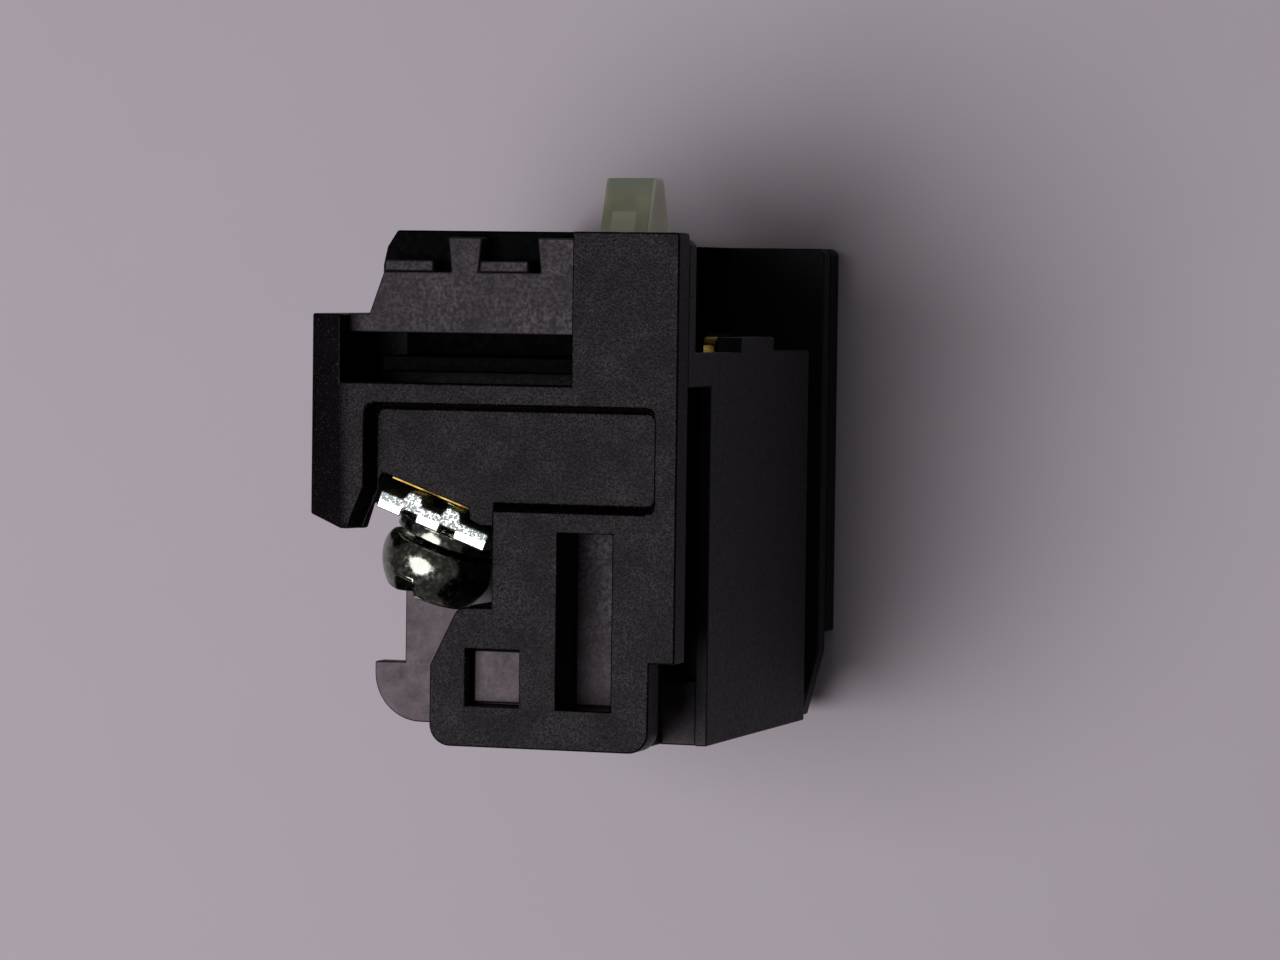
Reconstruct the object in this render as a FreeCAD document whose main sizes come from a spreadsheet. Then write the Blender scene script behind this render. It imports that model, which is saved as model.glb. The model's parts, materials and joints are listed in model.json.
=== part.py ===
import FreeCAD, Part
import math
import os

import Sketcher
from FreeCAD import Placement, Rotation, Vector

# Rear contact block of an industrial push button: one contact, two screw terminals.
# X runs from the terminal side to the closed side, Y towards the plunger, and Z is up
# from the far face, on which the block lies. Each piece is drawn in block coordinates,
# from the lower left corner of the far face, and placed with the block's centre at X = Y = 0.

doc = FreeCAD.newDocument("contact_block")
sheet = doc.addObject("Spreadsheet::Sheet", "sizes")

SIZES = (
    # whole block
    ("block_width", 23.8, "left guard to right side"),
    ("block_height", 31.0, "foot to top edge"),
    ("block_depth", 33.5, "near face to far face"),
    # covers
    ("cover_thickness", 2.0, "near and far cover"),
    ("far_cover_drop", 0.7, "far cover's top below the block's top"),
    ("foot_left", 8.3, "left face of the foot"),
    ("foot_shoulder", 4.85, "height where the foot starts to slope"),
    ("foot_round", 1.3, "radius of the foot's lower corners"),
    ("waist_left", 10.05, "left end of the step over the foot"),
    ("waist_height", 8.4, "height of the step over the foot"),
    ("waist_round", 0.9, "radius at the step"),
    ("bay_right", 12.2, "right wall of a terminal bay"),
    ("bay_lip", 10.2, "where the cover's edge leaves the strip"),
    ("bay_lip_drop", 0.45, "how far the edge falls there"),
    ("bay_lip_height", 13.2, "lower end of the cover's edge at the bay"),
    ("bay_lip_foot", 10.95, "left end of that lower edge"),
    ("strip_reveal", 0.27, "strip's edge seen under the cover"),
    ("notch_width", 1.6, "notch at the lower right corner"),
    ("notch_height", 5.4, "height of that notch"),
    ("column_width", 6.7, "full thickness column at the upper right"),
    ("band_bottom", 21.8, "lower edge of the open band"),
    ("band_top", 24.8, "upper edge of the open band"),
    ("guard_width", 2.15, "left guard beside the band"),
    ("guard_top", 25.9, "top of the left guard"),
    ("guard_corner", 13.7, "outer lower corner of the left guard"),
    ("guard_foot", 12.9, "lower end of the left guard"),
    ("guard_toe_start", 2.28, "left end of the guard's foot"),
    ("guard_toe_end", 3.46, "right end of the guard's foot"),
    ("guard_lip", 4.3, "lower end of the guard's face towards the bay"),
    ("guard_lip_top", 4.7, "upper end of that face"),
    ("guard_lip_height", 15.5, "lower end of that face"),
    ("bevel_width", 3.05, "sloped outer face of the guard"),
    ("bevel_drop", 1.2, "its fall over that width"),
    ("panel_depth", 1.3, "sunk panel"),
    ("panel_draft", 15.0, "slope of the panel's walls, degrees"),
    ("panel_left", 3.9, "panel's left edge"),
    ("panel_right_wall", 1.4, "face left beside the panel, at the right"),
    ("panel_top", 20.55, "panel's upper edge"),
    ("panel_bottom", 14.25, "panel's lower edge"),
    ("panel_round", 0.55, "corners of the panel"),
    ("panel_cut", 15.45, "where the panel cuts into the guard's foot"),
    ("slot_left", 16.4, "left edge of the latch slot"),
    ("slot_width", 3.4, "width of the latch slot"),
    ("slot_bottom", 2.45, "lower edge of the latch slot"),
    ("slot_top", 13.0, "upper edge of the latch slot"),
    ("slot_floor", 3.6, "depth of the latch slot's floor"),
    ("window_left", 10.6, "left edge of the snap window"),
    ("window_size", 3.4, "width and height of the snap window"),
    ("window_bottom", 2.5, "lower edge of the snap window"),
    ("window_floor", 1.2, "depth of the snap boss in the window"),
    ("snap_clearance", 0.12, "round the snap boss"),
    # housing
    ("arm_foot", 14.4, "underside of the housing's left arm"),
    ("flange_thickness", 1.4, "grey flanges behind the covers"),
    ("flange_drop", 0.4, "flange's top below the block's top"),
    ("corner_cut", 0.35, "cut at the upper right corner of far cover and flanges"),
    ("near_corner_cut", 0.12, "the same cut on the near cover"),
    ("far_foot_cut_width", 1.1, "cut at the far flange's lower right corner, along X"),
    ("far_foot_cut_height", 4.2, "the same cut, along Y"),
    ("flange_slope_top", 5.05, "left end of the flange's top edge"),
    ("flange_slope_foot", 3.35, "left end of the flange over the guard"),
    ("hook_notch_floor", 28.5, "lower edge of the hook pockets"),
    ("hook_notch_flare", 0.27, "how much a pocket widens downwards"),
    ("first_notch_right", 8.66, "right edge of the first pocket"),
    ("second_notch_left", 10.39, "left edge of the second pocket"),
    ("second_notch_right", 14.39, "right edge of the second pocket"),
    ("ledge_width", 3.15, "ledge at the foot of a pocket"),
    ("ledge_height", 0.7, "height of that ledge"),
    ("ledge_sink", 0.15, "ledge's face below the flange's face"),
    ("ledge_start", 4.3, "left end of the first ledge"),
    ("bay_depth", 8.2, "depth of a terminal bay from the block's face"),
    ("barrier_thickness", 1.4, "hook shaped barrier behind a bay"),
    ("barrier_left", 3.55, "left edge of the barrier's bar"),
    ("hook_left", 1.56, "left edge of the barrier's hook"),
    ("hook_top", 4.3, "top of the hook"),
    ("hook_bottom", 0.6, "bottom of the hook"),
    ("hook_round", 3.0, "radius of the hook's back"),
    ("channel_width", 3.0, "latch channel behind the covers, at the right"),
    ("channel_depth", 6.5, "floor of that channel from the block's face"),
    ("channel_top", 21.8, "upper end of the near channel"),
    ("channel_rim", 0.8, "rim left standing at the channel's open side"),
    ("channel_sink", 0.3, "floor behind the rim, below the sill"),
    ("channel_sill", 3.9, "height of that floor"),
    ("channel_well", 1.5, "floor behind the rim, above the sill"),
    ("side_wall", 1.6, "wall at the closed side"),
    ("side_wall_top", 23.8, "top of that wall"),
    ("lug_height", 0.9, "raised lug on that wall"),
    ("lug_width", 6.8, "length of the lug"),
    ("lug_centre", 15.9, "depth of the lug's centre"),
    ("cavity_left", 10.2, "left wall of the contact cavity"),
    ("cavity_floor", 2.0, "floor of the contact cavity"),
    ("cavity_end", 9.6, "depth at which the contact cavity starts"),
    ("seat_height", 22.4, "where the guide frame sits"),
    ("seat_left", 3.6, "left wall of the guide frame's seat"),
    ("spigot_radius", 1.3, "spring spigot on the cavity's floor"),
    ("spigot_height", 2.0, "its height"),
    # guide frame
    ("frame_clearance", 0.08, "round the guide frame"),
    ("frame_block_right", 12.0, "right face of the frame's full height part"),
    ("frame_lobe_right", 17.5, "right end of the lobes behind the flanges"),
    ("frame_lobe_depth", 5.0, "thickness of those lobes"),
    ("frame_lean_start", 28.9, "height where the frame's left face starts to lean"),
    ("frame_lean", 0.25, "how far it leans below its upper corner"),
    ("frame_lean_end", 30.0, "height of that corner"),
    ("frame_corner", 0.9, "how far the corner goes in at the top"),
    ("deck_thickness", 1.0, "deck over the contact cavity"),
    ("tower_width", 6.2, "plunger guide, along X"),
    ("tower_depth", 8.0, "plunger guide, along Z"),
    ("tower_top", 28.4, "upper end of the plunger guide"),
    ("band_recess", 4.6, "depth of the open band in the frame"),
    # plunger
    ("plunger_x", 15.3, "plunger axis"),
    ("plunger_width", 5.0, "shank, along X"),
    ("plunger_depth", 5.4, "shank, along Z"),
    ("plunger_clearance", 0.08, "shank in its guide, each side"),
    ("plunger_foot", 12.6, "lower end at rest"),
    ("plunger_neck", 28.7, "height where the shank ends"),
    ("plunger_tip", 34.5, "upper end at rest"),
    ("tip_width", 3.2, "wedge, along X"),
    ("tip_offset", 0.12, "wedge's middle to the right of the plunger's axis"),
    ("tip_near", 1.1, "wedge's near face from the middle, at its tip"),
    ("tip_far", 0.75, "wedge's far face from the middle, at its tip"),
    ("tip_base", 30.15, "height where the wedge starts"),
    ("plunger_travel", 3.0, "full stroke"),
    ("stop_width", 6.6, "stop shoulder, along X"),
    ("stop_height", 1.1, "stop shoulder"),
    ("stop_gap", 0.05, "under the deck at rest"),
    ("core_width", 1.7, "core hole in the wedge, along X"),
    ("core_depth", 2.4, "core hole, along Z"),
    ("core_top", 32.4, "upper end of the core hole"),
    ("spring_pocket_radius", 2.25, "return spring's pocket in the plunger"),
    ("spring_pocket_depth", 1.5, "depth of that pocket"),
    # moving bridge
    ("bridge_width", 3.0, "moving bridge, along X"),
    ("bridge_thickness", 0.6, "moving bridge"),
    ("bridge_end_gap", 0.25, "bridge's ends to the cavity's ends"),
    ("bridge_side_gap", 0.15, "bridge in the plunger's window"),
    ("bridge_rest_gap", 0.05, "under the bridge in the window"),
    ("contact_gap", 2.0, "open contacts at rest"),
    ("window_top", 22.8, "top of the plunger's window"),
    ("tip_inset", 1.4, "contact rivet's centre from the cavity's end"),
    ("moving_tip_radius", 1.3, "rivets of the bridge"),
    ("moving_tip_height", 0.6, "their faces"),
    ("fixed_tip_radius", 1.4, "rivets of the strips"),
    ("fixed_tip_height", 0.7, "their faces"),
    ("rivet_shank", 0.7, "rivet shank radius"),
    ("rivet_head_radius", 1.0, "closed rivet head"),
    ("rivet_head_height", 0.22, "closed rivet head"),
    ("rivet_clearance", 0.02, "rivet shank in its hole"),
    ("saddle_depth", 3.6, "spring saddle, along Z"),
    ("saddle_thickness", 0.3, "spring saddle"),
    # terminals
    ("terminal_x", 8.59, "screw axis where it meets the strip"),
    ("terminal_y", 14.6, "screw axis where it meets the strip"),
    ("terminal_depth", 4.15, "screw axis from the block's face"),
    ("terminal_tilt", 20.0, "tilt of the screw axis, degrees"),
    ("strip_thickness", 0.8, "brass strip"),
    ("strip_start", 3.9, "strip's free end from the screw axis"),
    ("strip_bend", 3.6, "bend from the screw axis"),
    ("strip_cover_gap", 0.05, "strip behind the cover"),
    ("strip_pad_end", 7.8, "depth where the strip under the screw ends"),
    ("strip_neck_start", 4.6, "depth where the strip's blade starts"),
    ("strip_blade_end", 12.4, "depth where the strip's blade ends"),
    ("strip_blade_right", 17.0, "right end of the blade"),
    ("strip_clearance", 0.08, "strip in its slot"),
    ("test_tab_gap", 0.4, "test tab to the side wall"),
    ("test_tab_top", 24.7, "upper end of the test tab"),
    ("test_arm_start", 11.2, "depth where the arm of the test tab starts"),
    ("test_tab_start", 13.4, "depth where the test tab starts"),
    ("test_tab_width", 1.3, "test tab, along Z"),
    ("test_tab_round", 0.6, "radius of the test tab's corners"),
    ("screw_radius", 1.75, "M3.5 thread"),
    ("screw_clearance", 0.05, "thread in the strip's hole"),
    ("screw_length", 7.0, "under the head"),
    ("screw_bore", 1.95, "clearance hole in the housing"),
    ("screw_bore_end", 0.6, "left over past the screw's end"),
    ("head_radius", 3.5, "pan head"),
    ("head_rim", 1.4, "straight height of the head"),
    ("head_height", 3.4, "whole height of the head"),
    ("head_crown", 2.5, "radius of the head's flat crown"),
    ("driver_slot", 1.25, "width of the driver slot"),
    ("driver_slot_depth", 1.05, "depth of the driver slot"),
    ("driver_cross_length", 4.4, "length of the cross arm"),
    ("driver_turn", -13.0, "how the slot stands at rest, degrees"),
    ("washer_radius", 3.1, "spring washer"),
    ("washer_bore", 1.9, "spring washer and clamp plate bore"),
    ("washer_thickness", 0.8, "wire of the spring washer, along the screw"),
    ("washer_rise", 0.35, "how far its ends stand apart"),
    ("washer_play", 0.02, "spring washer to the head and to the clamp plate"),
    ("washer_turn", 0.96, "share of a full turn that the spring washer makes"),
    ("clamp_size", 7.4, "square clamp plate"),
    ("clamp_thickness", 1.1, "clamp plate"),
    ("rib_height", 0.6, "pressed rib"),
    ("rib_left", -1.55, "left rib from the screw axis"),
    ("rib_right", 1.05, "right rib from the screw axis"),
    ("rib_width", 0.85, "rib's top"),
    ("rib_flare", 0.25, "each flank of the rib"),
    ("rib_groove", 1.0, "groove under the rib"),
    ("rib_groove_depth", 0.5, "its depth"),
    # springs
    ("return_coil_radius", 1.75, "return spring, centre of the wire"),
    ("return_wire", 0.2, "return spring wire radius"),
    ("return_turns", 8.0, "return spring"),
    ("contact_coil_radius", 1.2, "contact spring, centre of the wire"),
    ("contact_wire", 0.16, "contact spring wire radius"),
    ("contact_turns", 5.0, "contact spring"),
    ("spring_seat_gap", 0.03, "each end of a spring"),
)

PAST = 5.0   # how far a cut runs out of the material


class Size:
    """A length that keeps its number and the sheet formula that gives it."""

    def __init__(self, number, formula):
        self.number = float(number)
        self.formula = formula

    def __add__(self, other):
        other = as_size(other)
        return Size(self.number + other.number, f"({self.formula} + {other.formula})")

    def __sub__(self, other):
        other = as_size(other)
        return Size(self.number - other.number, f"({self.formula} - {other.formula})")

    def __mul__(self, other):
        other = as_size(other)
        return Size(self.number * other.number, f"({self.formula} * {other.formula})")

    def __truediv__(self, other):
        other = as_size(other)
        return Size(self.number / other.number, f"({self.formula} / {other.formula})")

    def __neg__(self):
        return Size(-self.number, f"(-1 * {self.formula})")

    def __radd__(self, other):
        return as_size(other) + self

    def __rsub__(self, other):
        return as_size(other) - self


def as_size(value):
    return value if isinstance(value, Size) else Size(value, repr(float(value)))


def sine(angle):
    return Size(math.sin(math.radians(angle.number)), f"sin({angle.formula})")


def cosine(angle):
    return Size(math.cos(math.radians(angle.number)), f"cos({angle.formula})")


def tangent(angle):
    return Size(math.tan(math.radians(angle.number)), f"tan({angle.formula})")


def fill_sheet():
    """Write the driving sizes in the sheet and return them by name."""
    sizes = {}
    for row, (alias, value, meaning) in enumerate(SIZES, start=1):
        sheet.set(f"A{row}", meaning)
        sheet.set(f"B{row}", str(value))
        sheet.setAlias(f"B{row}", alias)
        sizes[alias] = Size(value, f"sizes.{alias}")
    doc.recompute()
    return sizes


S = fill_sheet()
W = S["block_width"]
H = S["block_height"]
D = S["block_depth"]
TILT = S["terminal_tilt"]
MIDDLE = D / 2


# ---- drawing helpers -------------------------------------------------------------------

def bind(thing, prop, size):
    thing.setExpression(prop, as_size(size).formula)


def new_body(label):
    body = doc.addObject("PartDesign::Body", label)
    body.Label = label
    return body


def origin_plane(body, role):
    for feature in body.Origin.OriginFeatures:
        if feature.Role == role:
            return feature
    raise ValueError(role)


def new_sketch(body, name, role, level):
    """A sketch on one of the body's own origin planes, moved by level along its normal."""
    sketch = body.newObject("Sketcher::SketchObject", name)
    sketch.AttachmentSupport = (origin_plane(body, role), [""])
    sketch.MapMode = "FlatFace"
    bind(sketch, "AttachmentOffset.Base.z", level)
    return sketch


def pin_point(sketch, curve, end, x, y):
    """Fix one end of a line, or a circle's centre, by two bound distances."""
    for kind, size in (("DistanceX", as_size(x)), ("DistanceY", as_size(y))):
        index = sketch.addConstraint(Sketcher.Constraint(kind, curve, end, size.number))
        sketch.setExpression(f"Constraints[{index}]", size.formula)


def outline(body, name, points, level, role="XY_Plane"):
    """A closed outline of straight lines through the points."""
    sketch = new_sketch(body, name, role, level)
    corners = [Vector(as_size(x).number, as_size(y).number, 0) for x, y in points]
    count = len(corners)
    for i in range(count):
        sketch.addGeometry(Part.LineSegment(corners[i], corners[(i + 1) % count]), False)
    for i in range(count):
        sketch.addConstraint(Sketcher.Constraint("Coincident", i, 2, (i + 1) % count, 1))
    for i, (x, y) in enumerate(points):
        pin_point(sketch, i, 1, x, y)
    return sketch


def circle(body, name, x, y, radius, level, role="XY_Plane"):
    sketch = new_sketch(body, name, role, level)
    centre = Vector(as_size(x).number, as_size(y).number, 0)
    sketch.addGeometry(Part.Circle(centre, Vector(0, 0, 1), radius.number), False)
    pin_point(sketch, 0, 3, x, y)
    index = sketch.addConstraint(Sketcher.Constraint("Radius", 0, radius.number))
    sketch.setExpression(f"Constraints[{index}]", radius.formula)
    return sketch


def rectangle(left, bottom, right, top):
    return [(left, bottom), (right, bottom), (right, top), (left, top)]


def pad(body, name, sketch, length, midplane=False):
    feature = body.newObject("PartDesign::Pad", name)
    feature.Profile = sketch
    feature.Midplane = midplane
    bind(feature, "Length", length)
    sketch.Visibility = False
    doc.recompute()
    return feature


def pocket(body, name, sketch, length, midplane=False, draft=None):
    """Cut against the sketch's normal, and make sure that something was cut."""
    before = body.Shape.Volume
    feature = body.newObject("PartDesign::Pocket", name)
    feature.Profile = sketch
    feature.Midplane = midplane
    bind(feature, "Length", length)
    if draft is not None:
        bind(feature, "TaperAngle", draft)
    doc.recompute()
    if not body.Shape.Volume < before - 1e-4:
        raise ValueError(f"{body.Label}.{name} cuts nothing")
    return feature


def revolve(body, name, points):
    """Turn an outline in X and Y about the Y axis."""
    sketch = outline(body, name + "_profile", points, 0.0)
    feature = body.newObject("PartDesign::Revolution", name)
    feature.Profile = sketch
    feature.ReferenceAxis = (sketch, ["V_Axis"])
    feature.Angle = 360.0
    doc.recompute()
    return feature


def round_corners(body, name, corners, radius):
    """Round the edges along Z that stand at the given points."""
    names = []
    for number, edge in enumerate(body.Shape.Edges, start=1):
        ends = [vertex.Point for vertex in edge.Vertexes]
        if len(ends) != 2 or abs(ends[0].z - ends[1].z) < 1e-6:
            continue
        for x, y in corners:
            spot = (as_size(x).number, as_size(y).number)
            if all(math.dist((end.x, end.y), spot) < 1e-3 for end in ends):
                names.append(f"Edge{number}")
    if not names:
        raise ValueError(f"{body.Label}.{name} finds no corner")
    return fillet(body, name, names, radius)


def round_pocket(body, name, corners, level, radius):
    """Round the slanted edges that run down from the given points at one level."""
    names = []
    for number, edge in enumerate(body.Shape.Edges, start=1):
        ends = [vertex.Point for vertex in edge.Vertexes]
        if len(ends) != 2 or abs(ends[0].z - ends[1].z) < 1e-6:
            continue
        for x, y in corners:
            spot = (as_size(x).number, as_size(y).number, as_size(level).number)
            if any(math.dist(tuple(end), spot) < 1e-3 for end in ends):
                names.append(f"Edge{number}")
    if len(names) != len(corners):
        raise ValueError(f"{body.Label}.{name} finds {len(names)} corners")
    return fillet(body, name, names, radius)


def fillet(body, name, edges, radius):
    base = body.Tip
    feature = body.newObject("PartDesign::Fillet", name)
    feature.Base = (base, edges)
    bind(feature, "Radius", radius)
    doc.recompute()
    return feature


def upper_level(side, start, end):
    """Z of the upper face of a slice from depth start to depth end, seen from one face."""
    return D - start if side == "near" else as_size(end)


def lower_level(side, start, end):
    return D - end if side == "near" else as_size(start)


def cut_slice(body, name, points, side, start, end, draft=None):
    sketch = outline(body, name + "_outline", points, upper_level(side, start, end))
    return pocket(body, name, sketch, as_size(end) - start, draft=draft)


def pad_slice(body, name, points, side, start, end):
    sketch = outline(body, name + "_outline", points, lower_level(side, start, end))
    return pad(body, name, sketch, as_size(end) - start)


def place(piece, x=0.0, y=0.0, z=0.0, rotation=None):
    """Put a piece in the block, and the block's centre on the Z axis."""
    piece.Placement = Placement(Vector(0, 0, 0), rotation or Rotation())
    bind(piece, "Placement.Base.x", as_size(x) - W / 2)
    bind(piece, "Placement.Base.y", as_size(y) - S["plunger_tip"] / 2)
    bind(piece, "Placement.Base.z", as_size(z))


# ---- shared outlines -------------------------------------------------------------------

def strip_underside(x):
    """Height of the tilted strip's lower face at x."""
    return S["terminal_y"] - (as_size(x) - S["terminal_x"]) * tangent(TILT)


def bay_ceiling(x):
    """Height of the tilted strip's upper face at x, where the bay ends."""
    return strip_underside(x) + S["strip_thickness"] / cosine(TILT)


def guard_outline():
    """Left guard, from its top corner down to its lip at the bay."""
    return [
        (0.0, S["guard_top"]),
        (0.0, S["guard_corner"]),
        (S["guard_toe_start"], S["guard_foot"]),
        (S["guard_toe_end"], S["guard_foot"]),
        (S["guard_lip"], S["guard_lip_height"]),
    ]


def arm_outline():
    """The housing's left arm behind the guards, which leaves the wire's way open."""
    rise = (S["arm_foot"] - S["guard_foot"]) / (S["guard_lip_height"] - S["guard_foot"])
    arm_lip = S["guard_toe_end"] + (S["guard_lip"] - S["guard_toe_end"]) * rise
    return [
        (0.0, S["guard_top"]),
        (0.0, S["arm_foot"]),
        (arm_lip, S["arm_foot"]),
        (S["guard_lip"], S["guard_lip_height"]),
    ]


def foot_outline():
    """Right wall of the bay, the step and the sloped side of the foot."""
    return [
        (S["bay_right"], S["waist_height"]),
        (S["waist_left"], S["waist_height"]),
        (S["foot_left"], S["foot_shoulder"]),
    ]


# ---- covers ----------------------------------------------------------------------------

def make_cover(side):
    body = new_body(f"{side}_cover")
    thickness = S["cover_thickness"]
    top = H if side == "near" else H - S["far_cover_drop"]
    cut = S["near_corner_cut"] if side == "near" else S["corner_cut"]
    column_left = W - S["column_width"]
    notch_left = W - S["notch_width"]
    panel_right = W - S["panel_right_wall"]
    plate = [
        (S["foot_left"], 0.0),
        (notch_left, 0.0),
        (notch_left, S["notch_height"]),
        (W, S["notch_height"]),
        (W, top - cut),
        (W - cut, top),
        (column_left, top),
        (column_left, S["band_bottom"]),
        (S["guard_width"], S["band_bottom"]),
        (S["guard_width"], S["guard_top"]),
    ]
    plate += guard_outline()
    plate += [
        (S["guard_lip_top"], strip_underside(S["guard_lip_top"]) + S["strip_reveal"]),
        (S["bay_lip"], strip_underside(S["bay_lip"]) + S["strip_reveal"]),
        (S["bay_lip"], strip_underside(S["bay_lip"]) - S["bay_lip_drop"]),
        ((S["bay_lip"] * 2 + S["bay_lip_foot"]) / 3, S["bay_lip_height"] + 0.25),
        (S["bay_lip_foot"], S["bay_lip_height"]),
        (S["bay_right"], S["bay_lip_height"]),
    ]
    plate += foot_outline()
    pad_slice(body, "plate", plate, side, 0.0, thickness)
    corners = [(S["foot_left"], 0.0), (notch_left, 0.0)]
    round_corners(body, "foot_corners", corners, S["foot_round"])
    round_corners(body, "waist_corner", [(S["waist_left"], S["waist_height"])], S["waist_round"])

    panel = [
        (S["panel_left"], S["panel_top"]),
        (S["panel_left"], S["panel_cut"]),
        (S["panel_left"] - 1.1, S["guard_foot"]),
        (S["panel_left"] - 1.1, S["waist_height"] + 2),
        (S["bay_right"], S["waist_height"] + 2),
        (S["bay_right"], S["panel_bottom"]),
        (panel_right, S["panel_bottom"]),
        (panel_right, S["panel_top"]),
    ]
    depth = S["panel_depth"]
    level = upper_level(side, 0.0, depth)
    if side == "near":
        sketch = outline(body, "panel_outline", panel, level)
        pocket(body, "panel", sketch, depth, draft=-S["panel_draft"])
        face, inward = D, -1.0
    else:
        sketch = outline(body, "panel_outline", panel, 0.0)
        pocket_up(body, "panel", sketch, depth, -S["panel_draft"])
        face, inward = as_size(0.0), 1.0

    corners = [
        (S["panel_left"], S["panel_top"]),
        (panel_right, S["panel_top"]),
        (panel_right, S["panel_bottom"]),
    ]
    round_pocket(body, "panel_corners", corners, face, S["panel_round"])

    def at_depth(size):
        return face + as_size(size) * inward

    slope = S["bevel_drop"] / S["bevel_width"]
    bevel = [
        (-1.0, at_depth(S["bevel_drop"] + slope)),
        (S["bevel_width"], face),
        (S["bevel_width"], at_depth(-1.0)),
        (-1.0, at_depth(-1.0)),
    ]
    sketch = outline(body, "guard_bevel_outline", bevel, 0.0, "XZ_Plane")
    pocket(body, "guard_bevel", sketch, H * 3, midplane=True)

    slot = rectangle(S["slot_left"], S["slot_bottom"],
                     S["slot_left"] + S["slot_width"], S["slot_top"])
    cut_slice(body, "latch_slot", slot, side, 0.0, thickness)
    window = rectangle(S["window_left"], S["window_bottom"],
                       S["window_left"] + S["window_size"], S["window_bottom"] + S["window_size"])
    cut_slice(body, "snap_window", window, side, 0.0, thickness)
    place(body)
    return body


def pocket_up(body, name, sketch, length, draft):
    """Cut along the sketch's normal."""
    before = body.Shape.Volume
    feature = body.newObject("PartDesign::Pocket", name)
    feature.Profile = sketch
    feature.Reversed = True
    bind(feature, "Length", length)
    bind(feature, "TaperAngle", draft)
    doc.recompute()
    if not body.Shape.Volume < before - 1e-4:
        raise ValueError(f"{body.Label}.{name} cuts nothing")


# ---- housing ---------------------------------------------------------------------------

def make_housing():
    body = new_body("main_housing")
    cover = S["cover_thickness"]
    flange_back = cover + S["flange_thickness"]
    top = H - S["flange_drop"]
    core = [
        (S["foot_left"], 0.0),
        (W, 0.0),
        (W, top - S["corner_cut"]),
        (W - S["corner_cut"], top),
        (S["flange_slope_top"], top),
        (S["flange_slope_foot"], S["guard_top"]),
    ]
    core += arm_outline()
    core += [
        (S["guard_lip_top"], bay_ceiling(S["guard_lip_top"])),
        (S["bay_right"], bay_ceiling(S["bay_right"])),
    ]
    core += foot_outline()
    pad_slice(body, "core", core, "near", cover, D - cover)

    web = rectangle(S["foot_left"], 0.0, S["bay_right"] + 1, bay_ceiling(S["foot_left"]) + 1)
    pad_slice(body, "web", web, "near", S["bay_depth"], D - S["bay_depth"])
    for side in ("near", "far"):
        barrier = [
            (S["barrier_left"], S["hook_top"]),
            (S["hook_left"], S["hook_top"]),
            (S["hook_left"], S["hook_bottom"]),
            (S["foot_left"] + 1, S["hook_bottom"]),
            (S["foot_left"] + 1, bay_ceiling(S["barrier_left"])),
            (S["barrier_left"], bay_ceiling(S["barrier_left"])),
        ]
        end = S["bay_depth"] + S["barrier_thickness"]
        pad_slice(body, f"{side}_barrier", barrier, side, S["bay_depth"], end)
    round_corners(body, "hook_backs", [(S["hook_left"], S["hook_bottom"])], S["hook_round"])

    cavity_right = W - S["side_wall"]
    room = rectangle(S["cavity_left"], S["cavity_floor"], cavity_right, H + PAST)
    cut_slice(body, "contact_cavity", room, "near", S["cavity_end"], D - S["cavity_end"])
    seat = rectangle(S["seat_left"], S["seat_height"], cavity_right, H + PAST)
    cut_slice(body, "frame_seat", seat, "near", flange_back, D - flange_back)
    shoulder = rectangle(-PAST, S["guard_top"], S["seat_left"] + 1, H + PAST)
    cut_slice(body, "left_opening", shoulder, "near", flange_back, D - flange_back)
    opening = rectangle(cavity_right - 1, S["side_wall_top"], W + PAST, H + PAST)
    cut_slice(body, "right_opening", opening, "near", flange_back, D - flange_back)
    lug = rectangle(cavity_right, S["side_wall_top"] - 1, W, S["side_wall_top"] + S["lug_height"])
    lug_start = S["lug_centre"] - S["lug_width"] / 2
    pad_slice(body, "lug", lug, "near", lug_start, lug_start + S["lug_width"])

    for side in ("near", "far"):
        add_flange_details(body, side)
        add_bay_details(body, side)

    spigot = circle(body, "spigot_circle", S["plunger_x"], MIDDLE, S["spigot_radius"],
                    -(S["cavity_floor"] + S["spigot_height"]), "XZ_Plane")
    pad_down = body.newObject("PartDesign::Pad", "spring_spigot")
    pad_down.Profile = spigot
    bind(pad_down, "Length", S["spigot_height"] + 1)
    doc.recompute()
    place(body)
    return body


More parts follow.
